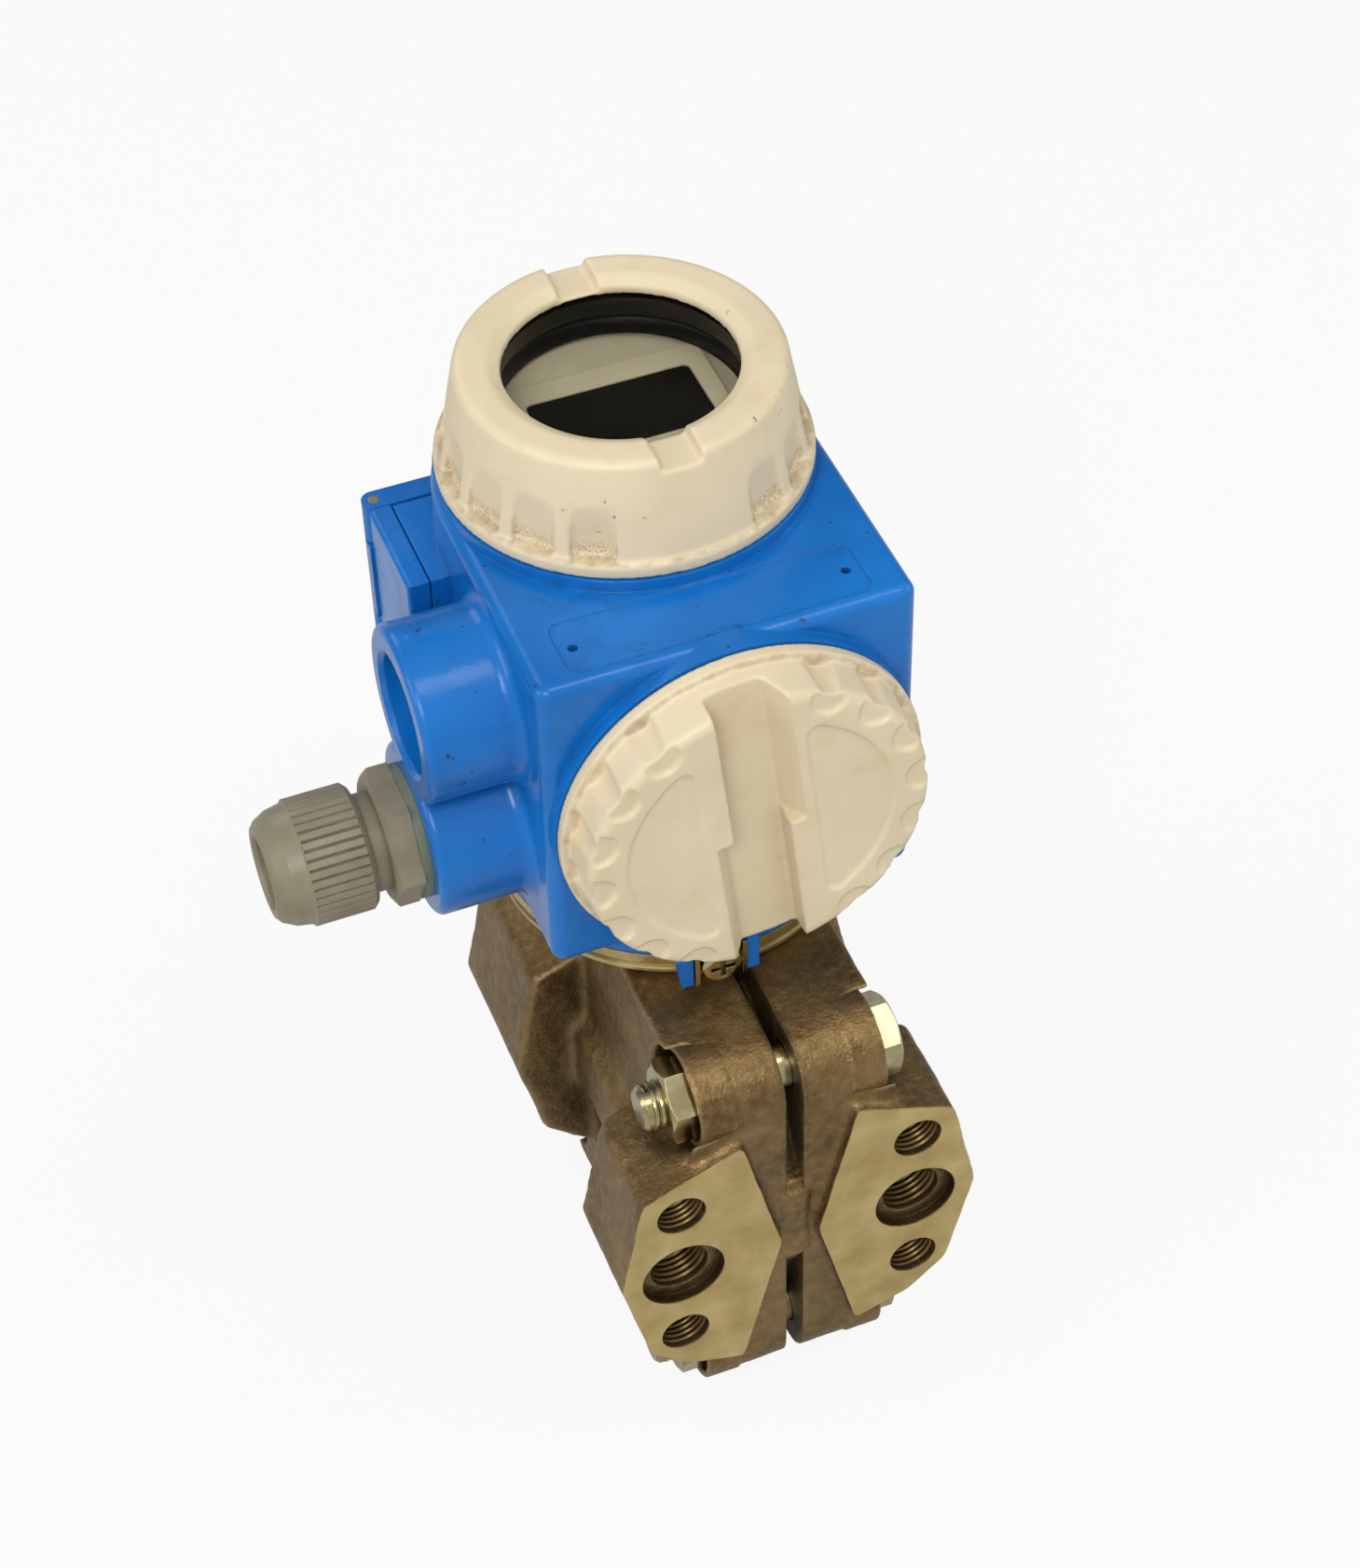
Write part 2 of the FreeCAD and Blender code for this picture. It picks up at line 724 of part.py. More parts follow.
def entry_boss(body, rise):
    """A cable entry's boss: flared where it leaves the wall, rounded at its mouth."""
    profile = new_sketch(body, "XZ", (0, rise, -entry_back))
    r, wall, reach = s.entry_boss, s.housing_half, s.entry_reach
    flare, rim = s.entry_flare, s.entry_round
    outline(profile, [(-wall + 8, ZERO), (-wall + 8, r + flare), (-wall, r + flare),
                      (-wall - flare, r, -wall - flare, r + flare, -1),
                      (-reach + rim, r),
                      (-reach, r - rim, -reach + rim, r - rim, 1),
                      (-reach, ZERO)])
    turn(body, profile, "H_Axis")


def entry_bore(body, rise):
    profile = new_sketch(body, "XZ", (0, rise, -entry_back))
    reach, mouth, lip = s.entry_reach, s.entry_mouth, s.entry_mouth_chamfer
    deep = s.entry_mouth_depth
    outline(profile, [(-s.entry_inner, ZERO), (-s.entry_inner, s.entry_thread),
                      (-reach + deep + 1, s.entry_thread), (-reach + deep, mouth),
                      (-reach + lip, mouth), (-reach, mouth + lip), (-reach - 1, mouth + lip),
                      (-reach - 1, ZERO)])
    turn(body, profile, "H_Axis", "Groove")


def earth_lug(body):
    """The lug under the front, with a channel for the earth clamp between two ears."""
    side = new_sketch(body, "YZ", (0, 0, s.lug_middle - s.lug_half))
    high = housing_base + s.collar_root
    outline(side, [(lug_front, lug_low), (lug_front + s.lug_foot, lug_low),
                   (lug_front + s.lug_root, high), (housing_front + s.housing_round, high),
                   (housing_front + s.housing_round, lug_top), (lug_front, lug_top)])
    pad(body, side, s.lug_half * 2)
    channel = new_sketch(body, "XZ", (s.lug_middle, 0, -(lug_front + s.lug_slot_depth)))
    half = s.lug_half - s.lug_ear
    box(channel, -half, half, lug_low - 1, lug_channel_top)
    pocket(body, channel, s.lug_slot_depth + 1, True)
    hole = new_sketch(body, "XZ", (s.lug_middle, earth_rise, -lug_front))
    circle(hole, 0, 0, s.earth_screw)
    pocket(body, hole, s.lug_slot_depth + s.earth_screw_hold)


def key_boss(body):
    """The pad under the key flap and the two lugs that hold its pin."""
    pad_sketch = new_sketch(body, "YZ", (0, 0, -s.key_boss_reach))
    box(pad_sketch, key_front, key_back, key_base, key_top)
    pad(body, pad_sketch, s.key_boss_reach - s.electronics_bore - 1)
    for low in (key_base, key_top - s.hinge_lug):
        lug = new_sketch(body, "XY", (0, hinge_back, low))
        r = s.hinge_radius
        outline(lug, [(-s.electronics_bore, -r), (-s.electronics_bore, r), (-s.hinge_out, r),
                      (-s.hinge_out, -r, -s.hinge_out, ZERO, 1)])
        pad(body, lug, s.hinge_lug)
    pin_hole = new_sketch(body, "XY", (-s.hinge_out, hinge_back, key_top))
    circle(pin_hole, 0, 0, s.hinge_pin)
    pocket(body, pin_hole, s.key_height)


def housing_insides(body):
    bore = new_sketch(body, "XZ", (0, 0, -display_back))
    thread_low = collar_top - s.cover_thread_depth
    outline(bore, [(ZERO, s.electronics_floor), (s.electronics_bore, s.electronics_floor),
                   (s.electronics_bore, thread_low - 2), (s.cover_thread, thread_low),
                   (s.cover_thread, collar_top - s.seal_pocket_depth),
                   (s.seal_pocket, collar_top - s.seal_pocket_depth),
                   (s.seal_pocket, collar_top + 1), (ZERO, collar_top + 1)])
    turn(body, bore, "V_Axis", "Groove")
    bore = new_sketch(body, "XY", (0, 0, housing_middle))
    thread_deep = collar_front + s.cover_thread_depth
    outline(bore, [(ZERO, s.terminal_floor), (s.terminal_bore, s.terminal_floor),
                   (s.terminal_bore, thread_deep + 1), (s.cover_thread, thread_deep),
                   (s.cover_thread, collar_front + s.seal_pocket_depth),
                   (s.seal_pocket, collar_front + s.seal_pocket_depth),
                   (s.seal_pocket, collar_front - 1), (ZERO, collar_front - 1)])
    turn(body, bore, "V_Axis", "Groove")
    for rise in entry_rises:
        entry_bore(body, rise)
    wires = new_sketch(body, "XZ", (0, housing_middle, -s.terminal_floor))
    half = s.wire_pocket_rise / 2
    box(wires, -s.wire_pocket_reach, -s.entry_inner, -half, half)
    pocket(body, wires, s.wire_pocket_depth)
    socket = new_sketch(body, "XY", (0, neck_back, neck_top + s.turn_gap))
    circle(socket, 0, 0, s.spigot_radius + s.spigot_play)
    pocket(body, socket, s.spigot_height, True)
    way = new_sketch(body, "XY", (0, neck_back, s.electronics_floor + 1))
    circle(way, 0, 0, s.cable_way)
    pocket(body, way, s.electronics_floor - neck_top)
    way = new_sketch(body, "XZ", (0, wire_way_rise, -s.terminal_floor))
    circle(way, 0, 0, s.wire_way)
    pocket(body, way, display_back - s.terminal_floor)


def plate_recess(body):
    """The bare recess for a plate, with its two rivet holes."""
    recess = new_sketch(body, "XY", (0, 0, housing_top))
    w, front, back, r = s.plate_half, plate_front, plate_front + s.plate_width, s.bezel_round
    outline(recess, rounded_box(-w, w, front, back, r))
    pocket(body, recess, s.plate_sink)
    for side in (-1, 1):
        rivet = new_sketch(body, "XY", (side * s.rivet_half, (front + back) / 2, housing_top))
        circle(rivet, 0, 0, s.rivet_radius)
        pocket(body, rivet, s.rivet_depth)


def rounded_box(x_low, x_high, y_low, y_high, r):
    x_low, x_high, y_low, y_high = size(x_low), size(x_high), size(y_low), size(y_high)
    return [(x_low + r, y_low, x_low + r, y_low + r, 1), (x_high - r, y_low),
            (x_high, y_low + r, x_high - r, y_low + r, 1), (x_high, y_high - r),
            (x_high - r, y_high, x_high - r, y_high - r, 1), (x_low + r, y_high),
            (x_low, y_high - r, x_low + r, y_high - r, 1), (x_low, y_low + r)]


def housing():
    body = new_body("housing")
    housing_shell(body)
    for rise in entry_rises:
        entry_boss(body, rise)
    key_boss(body)
    earth_lug(body)
    housing_insides(body)
    plate_recess(body)
    return body


# ---------------------------------------------------------------- covers

def grip_angles():
    """Angles of the finger recesses: evenly spaced, with two left out at each end of the bar."""
    count = int(s.grip_count.value)
    angles = [i * 360.0 / count for i in range(count)]
    return [a for a in angles if abs(abs((a % 180) - 90)) > 360.0 / count * 1.1]


def flutes(body, offset, circle_radius, radius, length, reverse):
    """Round pockets at the grips' angles, from a plane that looks to the front."""
    sketch = new_sketch(body, "XZ", offset)
    for angle in grip_angles():
        way = math.radians(angle)
        circle(sketch, circle_radius * math.cos(way), circle_radius * math.sin(way), radius)
    pocket(body, sketch, length, reverse)


def thumb_grips(body):
    """Upright recesses in the display cover's cone; each runs out where the cone meets its floor."""
    base = cover_base + s.cover_rim_height
    sketch = new_sketch(body, "XY", (0, display_back, base))
    floor, reach = s.display_grip_floor, s.cover_rim + 1
    half = math.radians(s.display_grip_half.value)
    for angle in grip_angles():
        low, high = math.radians(angle) - half, math.radians(angle) + half
        outline(sketch, [(floor * math.cos(low), floor * math.sin(low)),
                         (reach * math.cos(low), reach * math.sin(low)),
                         (reach * math.cos(high), reach * math.sin(high), ZERO, ZERO, 1),
                         (floor * math.cos(high), floor * math.sin(high))])
    pocket(body, sketch, s.display_height - s.cover_rim_height, True)


def display_cover():
    body = new_body("display_cover")
    profile = new_sketch(body, "XZ", (0, 0, -display_back))
    skirt = s.cover_thread - s.cover_play
    low, rim_top, top = cover_base, cover_base + s.cover_rim_height, cover_top
    soft = s.display_top_round
    outline(profile, [(s.cover_bore, low - s.cover_skirt), (skirt, low - s.cover_skirt),
                      (skirt, low), (s.cover_rim, low), (s.cover_rim, rim_top - 0.4),
                      (s.cover_rim - 0.4, rim_top), (s.display_wall_low, rim_top),
                      (s.display_wall_high, top - soft),
                      (s.display_wall_high - soft, top, s.display_wall_high - soft, top - soft, 1),
                      (s.display_bevel, top), (s.display_opening, top - s.display_bevel_drop),
                      (s.display_opening, glass_top), (s.cover_bore, glass_top)])
    turn(body, profile, "V_Axis")
    thumb_grips(body)
    notch = new_sketch(body, "XY", (0, display_back, top - s.notch_depth))
    for side in (-1, 1):
        ends = sorted((side * s.display_opening * 0.9, side * s.cover_rim), key=lambda v: v.value)
        box(notch, -s.notch_width / 2, s.notch_width / 2, ends[0], ends[1])
    pocket(body, notch, s.notch_depth + 1, True)
    return body


def terminal_cover():
    body = new_body("terminal_cover")
    profile = new_sketch(body, "XY", (0, 0, housing_middle))
    skirt = s.cover_thread - s.cover_play
    back, rim, face = cap_base, cap_base - s.cover_rim_height, cap_face
    soft = s.terminal_round
    outline(profile, [(ZERO, face), (s.terminal_wall_high - soft, face),
                      (s.terminal_wall_high, face + soft, s.terminal_wall_high - soft, face + soft, 1),
                      (s.terminal_wall_low, rim), (s.cover_rim - 0.4, rim), (s.cover_rim, rim + 0.4),
                      (s.cover_rim, back), (skirt, back), (skirt, back + s.cover_skirt),
                      (s.cover_bore, back + s.cover_skirt), (s.cover_bore, face + s.terminal_face),
                      (ZERO, face + s.terminal_face)])
    turn(body, profile, "V_Axis")
    flutes(body, (0, housing_middle, -rim), s.terminal_grip_circle, s.grip_radius,
           s.terminal_height, True)
    flutes(body, (0, housing_middle, -face), s.terminal_dent_circle, s.terminal_dent_radius,
           s.terminal_dent_sink, False)
    grip_bar(body)
    for side in (-1, 1):
        panel(body, side)
    about = FreeCAD.Vector(0, 0, housing_middle.value)
    angle = FreeCAD.Rotation(FreeCAD.Vector(0, 1, 0), -s.terminal_cover_angle.value)
    body.Placement = FreeCAD.Placement(FreeCAD.Vector(0, 0, 0), angle, about)
    return body


def grip_bar(body):
    """The tool channel across the cover: one flank steep, one sloped, swapped past the middle."""
    floor = cap_face + s.channel_depth
    out = cap_face - 1
    for side in (1, -1):
        half = side * s.channel_half
        flare = side * (s.channel_half + s.channel_flare)
        lift = side * s.channel_flare / s.channel_depth
        channel = new_sketch(body, "XY", (0, 0, housing_middle))
        outline(channel, [(-half, out), (-half, floor), (half, floor), (flare + lift, out)])
        pocket(body, channel, s.cover_rim, side > 0)


def panel(body, side):
    """A shallow D-shaped recess beside the channel."""
    r, chord, soft = s.panel_radius, s.panel_chord, s.panel_round
    inner = r - soft
    rise = root(inner * inner - (chord + soft) * (chord + soft))
    tip_x = (chord + soft) * (r / inner)
    tip_y = rise * (r / inner)
    sketch = new_sketch(body, "XZ", (0, housing_middle, -cap_face))
    outline(sketch, [(side * chord, -rise),
                     (side * tip_x, -tip_y, side * (chord + soft), -rise, side),
                     (side * tip_x, tip_y, ZERO, ZERO, side),
                     (side * chord, rise, side * (chord + soft), rise, side)])
    pocket(body, sketch, s.panel_sink)


def display_window():
    body = new_body("display_window")
    disc = new_sketch(body, "XY", (0, display_back, glass_top - s.glass_thick))
    circle(disc, 0, 0, s.glass_radius)
    pad(body, disc, s.glass_thick)
    return body


def window_retainer():
    body = new_body("window_retainer")
    profile = new_sketch(body, "XZ", (0, 0, -display_back))
    low, high = retainer_base, glass_top - s.glass_thick
    outer, middle = s.cover_bore - s.retainer_play, (low + high) / 2
    outline(profile, [(s.retainer_step, low), (outer, low), (outer, high), (s.retainer_bore, high),
                      (s.retainer_bore, middle), (s.retainer_step, middle)])
    turn(body, profile, "V_Axis")
    return body


# ---------------------------------------------------------------- what the covers close in

def display_module():
    body = new_body("display_module")
    puck = new_sketch(body, "XY", (0, display_back, module_face - s.module_height))
    circle(puck, 0, 0, s.module_radius)
    pad(body, puck, s.module_height)
    bezel = new_sketch(body, "XY", (0, display_back, module_face))
    x, y, r = s.bezel_half_x, s.bezel_half_y, s.bezel_round
    outline(bezel, rounded_box(-x, x, -y, y, r))
    pad(body, bezel, s.bezel_rise)
    window = new_sketch(body, "XY", (0, display_back, module_face + s.bezel_rise))
    x, y, r = s.lcd_half_x, s.lcd_half_y, s.bezel_round / 2
    outline(window, rounded_box(-x, x, -y, y, r))
    pocket(body, window, s.lcd_sink)
    return body


def display_lcd():
    body = new_body("display_lcd")
    pane = new_sketch(body, "XY", (0, display_back, module_face + s.bezel_rise - s.lcd_sink))
    x, y, r = s.lcd_half_x - 0.1, s.lcd_half_y - 0.1, s.bezel_round / 2
    outline(pane, rounded_box(-x, x, -y, y, r))
    pad(body, pane, s.lcd_thick)
    return body


def electronics_module():
    body = new_body("electronics_module")
    can = new_sketch(body, "XY", (0, display_back, s.electronics_floor))
    circle(can, 0, 0, s.board_radius)
    pad(body, can, module_face - s.module_height - s.electronics_floor)
    return body


def terminal_block():
    body = new_body("terminal_block")
    front = s.terminal_floor - s.block_depth
    block = new_sketch(body, "XZ", (0, housing_middle, -s.terminal_floor))
    box(block, -s.block_half, s.block_half, -s.block_height / 2, s.block_height / 2)
    pad(body, block, s.block_depth)
    for index in (-1, 0, 1):
        well = new_sketch(body, "XZ", (index * s.terminal_pitch, housing_middle, -front))
        circle(well, 0, 0, s.terminal_screw_head + s.clamp_play * 2)
        pocket(body, well, s.terminal_screw_sink)
        mouth = new_sketch(body, "XY", (index * s.terminal_pitch, 0,
                                        housing_middle - s.block_height / 2))
        half = s.terminal_screw_head
        box(mouth, -half, half, front + s.terminal_screw_sink + 1, s.terminal_floor - 2)
        pocket(body, mouth, s.block_height / 4, True)
    return body


def terminal_screw(name, index):
    body = new_body(name)
    face = s.terminal_floor - s.block_depth + s.terminal_screw_sink
    head = new_sketch(body, "XZ", (index * s.terminal_pitch, housing_middle, -face))
    circle(head, 0, 0, s.terminal_screw_head)
    pad(body, head, s.terminal_screw_sink * 0.75)
    slot = new_sketch(body, "XZ", (index * s.terminal_pitch, housing_middle,
                                   -(face - s.terminal_screw_sink * 0.75)))
    half = s.terminal_screw_head / 6
    box(slot, -s.terminal_screw_head - 1, s.terminal_screw_head + 1, -half, half)
    pocket(body, slot, s.terminal_screw_sink / 3)
    return body


# ---------------------------------------------------------------- cable gland

def gland_sketch(body):
    return new_sketch(body, "XZ", (0, entry_rises[1], -entry_back))


def gland_seal_ring():
    body = new_body("gland_seal_ring")
    profile = gland_sketch(body)
    box(profile, -gland_seat, -s.entry_reach, s.entry_thread + 0.5, s.gland_seal_radius)
    turn(body, profile, "H_Axis")
    return body


def gland_body():
    body = new_body("gland_body")
    stem_end = s.entry_reach - s.entry_mouth_depth - s.gland_thread_length
    flats = new_sketch(body, "YZ", (entry_back, entry_rises[1], -gland_seat))
    hexagon(flats, 0, 0, s.gland_across)
    pad(body, flats, s.gland_hex, True)
    round_corners(body, (entry_back, entry_rises[1]), gland_shoulder, s.gland_across, -1)
    barrel = gland_sketch(body)
    outline(barrel, [(-stem_end, s.nut_hole), (-stem_end, s.entry_thread),
                     (-gland_seat, s.entry_thread), (-gland_seat, s.gland_neck),
                     (-nut_start + s.cover_gap, s.gland_neck), (-nut_start + s.cover_gap, s.gland_stem),
                     (-gland_shoulder - s.gland_barrel_length, s.gland_stem),
                     (-gland_shoulder - s.gland_barrel_length, s.nut_hole)])
    turn(body, barrel, "H_Axis")
    bore = new_sketch(body, "YZ", (entry_back, entry_rises[1], -gland_shoulder - 1))
    circle(bore, 0, 0, s.nut_hole)
    pocket(body, bore, s.gland_hex + 2, True)
    return body


def gland_insert():
    """The rubber sleeve inside the gland."""
    body = new_body("gland_insert")
    profile = gland_sketch(body)
    end = gland_shoulder + s.gland_barrel_length
    box(profile, -end, -gland_seat, s.insert_bore, s.nut_hole)
    turn(body, profile, "H_Axis")
    return body


def gland_slip_ring():
    """The loose ring that lets the dome nut turn against the sleeve."""
    body = new_body("gland_slip_ring")
    profile = gland_sketch(body)
    end = slip_ring_face + s.slip_ring_thick
    box(profile, -end, -slip_ring_face, s.slip_ring_bore, s.gland_stem - s.slip_ring_play)
    turn(body, profile, "H_Axis")
    return body


def gland_dome_nut():
    body = new_body("gland_dome_nut")
    profile = gland_sketch(body)
    ribbed_end = nut_start + s.nut_ribbed
    tip = ribbed_end + s.nut_dome
    wall = s.gland_stem + s.cover_play
    inner_end = slip_ring_face + s.slip_ring_thick + s.turn_gap
    outline(profile, [(-nut_start, wall), (-nut_start, s.nut_radius - 1),
                      (-nut_start - 1, s.nut_radius), (-ribbed_end, s.nut_radius),
                      (-ribbed_end - 0.4, s.nut_radius - s.nut_rib_depth),
                      (-ribbed_end - s.nut_dome * 0.5, s.nut_radius - s.nut_rib_depth * 2),
                      (-tip + 1, s.nut_tip_radius + 1.2), (-tip, s.nut_tip_radius),
                      (-tip, s.nut_hole + 0.4), (-tip + 0.8, s.nut_hole),
                      (-inner_end, s.nut_hole), (-inner_end, wall)])
    turn(body, profile, "H_Axis")
    rib = new_sketch(body, "YZ", (entry_back, entry_rises[1], -nut_start))
    half = s.nut_radius * (math.pi / s.nut_rib_count.value * 0.55)
    deep = s.nut_radius - s.nut_rib_depth
    outline(rib, [(ZERO, deep), (half, s.nut_radius + 0.3), (-half, s.nut_radius + 0.3)])
    cut = pocket(body, rib, s.nut_ribbed)
    polar(body, [cut], rib, "N_Axis", s.nut_rib_count)
    return body


# ---------------------------------------------------------------- earth terminal

def ground_clamp():
    """The U-shaped clamp in the lug's channel."""
    body = new_body("ground_clamp")
    half = s.lug_half - s.lug_ear - s.clamp_play
    floor = lug_front + s.lug_slot_depth
    profile = new_sketch(body, "XY", (s.lug_middle, 0, lug_low))
    out = lug_front - 0.6
    thick = s.clamp_thick
    outline(profile, [(-half, out), (-half, floor), (half, floor), (half, out), (half - thick, out),
                      (half - thick, floor - thick), (-half + thick, floor - thick),
                      (-half + thick, out)])
    pad(body, profile, lug_channel_top - s.clamp_play - lug_low)
    hole = new_sketch(body, "XZ", (s.lug_middle, earth_rise, -lug_front))
    circle(hole, 0, 0, s.earth_screw + s.clamp_play)
    pocket(body, hole, s.lug_slot_depth + 1)
    return body


def earth_stack(name, front, thick, radius, bore):
    body = new_body(name)
    ring = new_sketch(body, "XZ", (s.lug_middle, earth_rise, -front))
    circle(ring, 0, 0, radius)
    if bore is not None:
        circle(ring, 0, 0, bore)
    pad(body, ring, thick)
    return body


def ground_screw(washer_front):
    """Pan-head screw with a cross recess."""
    body = earth_stack("ground_screw", washer_front, s.earth_head_height, s.earth_head, None)
    face = washer_front - s.earth_head_height
    blend(body, "Fillet", s.earth_head_height * 0.55,
          lambda e: isinstance(e.Curve, Part.Circle) and abs(e.CenterOfMass.y - face.value) < 1e-3)
    shank = new_sketch(body, "XZ", (s.lug_middle, earth_rise, -washer_front))
    circle(shank, 0, 0, s.earth_screw)
    floor = lug_front + s.lug_slot_depth
    pad(body, shank, floor + s.earth_screw_hold - washer_front, True)
    cross = new_sketch(body, "XZ", (s.lug_middle, earth_rise, -face))
    arm, half = s.earth_head * 0.6, s.earth_head * 0.12
    outline(cross, [(-arm, -half), (-half, -half), (-half, -arm), (half, -arm), (half, -half),
                    (arm, -half), (arm, half), (half, half), (half, arm), (-half, arm),
                    (-half, half), (-arm, half)])
    pocket(body, cross, s.earth_head_height * 0.6)
    return body


# ---------------------------------------------------------------- key flap

def key_flap():
    """The hinged flap over the keys, hollow inside, with its barrel between the lugs."""
    body = new_body("key_flap")
    plate = new_sketch(body, "YZ", (0, 0, -flap_inner))
    back = hinge_back - s.hinge_radius - s.key_gap
    box(plate, key_front, back, key_base, key_top)
    pad(body, plate, s.flap_thick, True)
    hollow = new_sketch(body, "YZ", (0, 0, -flap_inner))
    wall = s.flap_wall
    box(hollow, key_front + wall, back - wall, key_base + wall, key_top - wall)
    pocket(body, hollow, s.flap_thick - wall)

    def outer_rim(edge):
        return edge.BoundBox.XLength < 1e-3 and abs(edge.CenterOfMass.x + flap_outer.value) < 1e-3
    blend(body, "Fillet", s.flap_wall * 0.6, outer_rim)
    low = key_base + s.hinge_lug + s.key_gap
    barrel = new_sketch(body, "XY", (0, hinge_back, low))
    r, out = s.hinge_radius, s.hinge_out
    outline(barrel, [(-out - r, -s.hinge_radius - s.key_gap), (-out + r, -s.hinge_radius - s.key_gap),
                     (-out + r, ZERO), (-out - r, ZERO, -out, ZERO, 1)])
    height = s.key_height - (s.hinge_lug + s.key_gap) * 2
    pad(body, barrel, height)
    hole = new_sketch(body, "XY", (-s.hinge_out, hinge_back, low + height))
    circle(hole, 0, 0, s.hinge_pin + s.hinge_play)
    pocket(body, hole, height)
    return body


def key_flap_pin():
    body = new_body("key_flap_pin")
    rod = new_sketch(body, "XY", (-s.hinge_out, hinge_back, key_base))
    circle(rod, 0, 0, s.hinge_pin)
    pad(body, rod, s.key_height)
    return body


def keypad():
    """The rubber pad with three keys under the flap."""
    body = new_body("keypad")
    sheet_sketch = new_sketch(body, "YZ", (0, 0, -s.key_boss_reach))
    edge = s.keypad_margin
    back = hinge_back - s.hinge_radius - s.key_gap - edge
    box(sheet_sketch, key_front + edge, back, key_base + edge, key_top - edge)
    pad(body, sheet_sketch, s.keypad_thick, True)
    keys = new_sketch(body, "YZ", (0, 0, -(s.key_boss_reach + s.keypad_thick)))
    for index in (-1, 0, 1):
        circle(keys, (key_front + back + edge) / 2, key_middle + index * s.key_pitch, s.key_radius)
    pad(body, keys, s.keypad_thick * 0.8, True)
    return body


# ---------------------------------------------------------------- build, check and write

def build():
    parts = [flange("flange_left", -1), flange("flange_right", 1), sensor_body(),
             gasket("gasket_left", -1), gasket("gasket_right", 1)]
    names = ["upper_front", "lower_front", "upper_rear", "lower_rear"]
    for name, (back, rise) in zip(names, bolt_places):
        parts.append(clamp_bolt("bolt_" + name, back, rise))
        parts.append(clamp_nut("nut_" + name, back, rise))
    parts += [vent_plug("vent_plug_left", -1), vent_plug("vent_plug_right", 1), neck_ring()]
    inset = s.seal_section + s.neck_seal_sink
    parts.append(ring_seal("neck_seal", "XZ", (0, 0, -neck_back), s.spigot_radius - inset,
                           neck_top + s.spigot_height / 2, "V_Axis"))
    parts += [housing(), display_cover(), display_window(), window_retainer(), terminal_cover()]
    seal_radius = (s.seal_pocket + s.cover_thread) / 2
    parts.append(ring_seal("display_cover_seal", "XZ", (0, 0, -display_back), seal_radius,
                           cover_base - s.cover_gap - s.seal_section, "V_Axis"))
    parts.append(ring_seal("terminal_cover_seal", "XY", (0, 0, housing_middle), seal_radius,
                           cap_base + s.cover_gap + s.seal_section, "V_Axis"))
    parts += [display_module(), display_lcd(), electronics_module(), terminal_block()]
    for index in (-1, 0, 1):
        parts.append(terminal_screw("terminal_screw_%d" % (index + 2), index))
    parts += [gland_seal_ring(), gland_body(), gland_insert(), gland_slip_ring(),
              gland_dome_nut(), ground_clamp()]
    washer_back = lug_front + s.lug_slot_depth - s.clamp_thick
    parts.append(earth_stack("ground_washer", washer_back, s.earth_washer_thick, s.earth_washer,
                             s.earth_screw + s.clamp_play))
    parts.append(ground_screw(washer_back - s.earth_washer_thick))
    parts += [key_flap(), key_flap_pin(), keypad()]
    return parts


def write(parts):
    doc.recompute()
    failed = [o.Label for o in doc.Objects if {"Invalid", "Error"} & set(o.State)]
    bad = [p.Label for p in parts if p.Shape.isNull() or not p.Shape.isValid()]
    if failed or bad:
        raise RuntimeError("failed objects: %s; bad shapes: %s" % (failed, bad))
    os.makedirs("parts", exist_ok=True)
    for part in parts:
        part.Shape.exportStep("parts/%s.step" % part.Label)
        print("%-22s %10.1f mm3 %d solid(s)" % (part.Label, part.Shape.Volume, len(part.Shape.Solids)))


write(build())
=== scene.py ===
"""Looks for the differential pressure transmitter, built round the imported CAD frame."""
import json
import math

import bmesh
import bpy
from mathutils import Matrix, Vector

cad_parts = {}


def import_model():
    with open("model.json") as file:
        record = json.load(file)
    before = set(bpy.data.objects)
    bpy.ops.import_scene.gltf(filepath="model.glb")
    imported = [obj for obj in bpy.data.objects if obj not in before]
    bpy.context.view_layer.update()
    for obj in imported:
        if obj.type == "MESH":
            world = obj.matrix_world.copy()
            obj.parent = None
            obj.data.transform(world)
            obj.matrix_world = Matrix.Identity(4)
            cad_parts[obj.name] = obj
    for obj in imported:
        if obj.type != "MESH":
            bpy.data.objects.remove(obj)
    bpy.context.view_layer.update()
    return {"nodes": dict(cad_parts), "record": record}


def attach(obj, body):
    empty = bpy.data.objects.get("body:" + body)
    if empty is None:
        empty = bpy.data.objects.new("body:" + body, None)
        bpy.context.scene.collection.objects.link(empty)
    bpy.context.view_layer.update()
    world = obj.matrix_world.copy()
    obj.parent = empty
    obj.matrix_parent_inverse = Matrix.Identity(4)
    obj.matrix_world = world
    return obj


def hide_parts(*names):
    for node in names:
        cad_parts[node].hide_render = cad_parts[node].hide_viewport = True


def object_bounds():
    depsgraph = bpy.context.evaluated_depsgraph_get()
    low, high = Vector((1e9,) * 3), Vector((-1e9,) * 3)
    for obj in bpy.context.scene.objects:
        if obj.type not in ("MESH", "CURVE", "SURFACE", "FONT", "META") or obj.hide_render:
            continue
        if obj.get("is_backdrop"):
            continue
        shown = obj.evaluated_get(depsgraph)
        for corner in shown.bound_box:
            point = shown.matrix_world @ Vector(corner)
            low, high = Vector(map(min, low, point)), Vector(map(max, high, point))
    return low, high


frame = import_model()
MM = 0.001

# In metres.
COVER_SEAM_Z = 0.1513    # where the display cover's wall meets its rim
COVER_SEAM_Y = 0.0293    # and the terminal cover's
COVER_AXIS_Y = 0.0925    # the display cover's axis stands at X 0

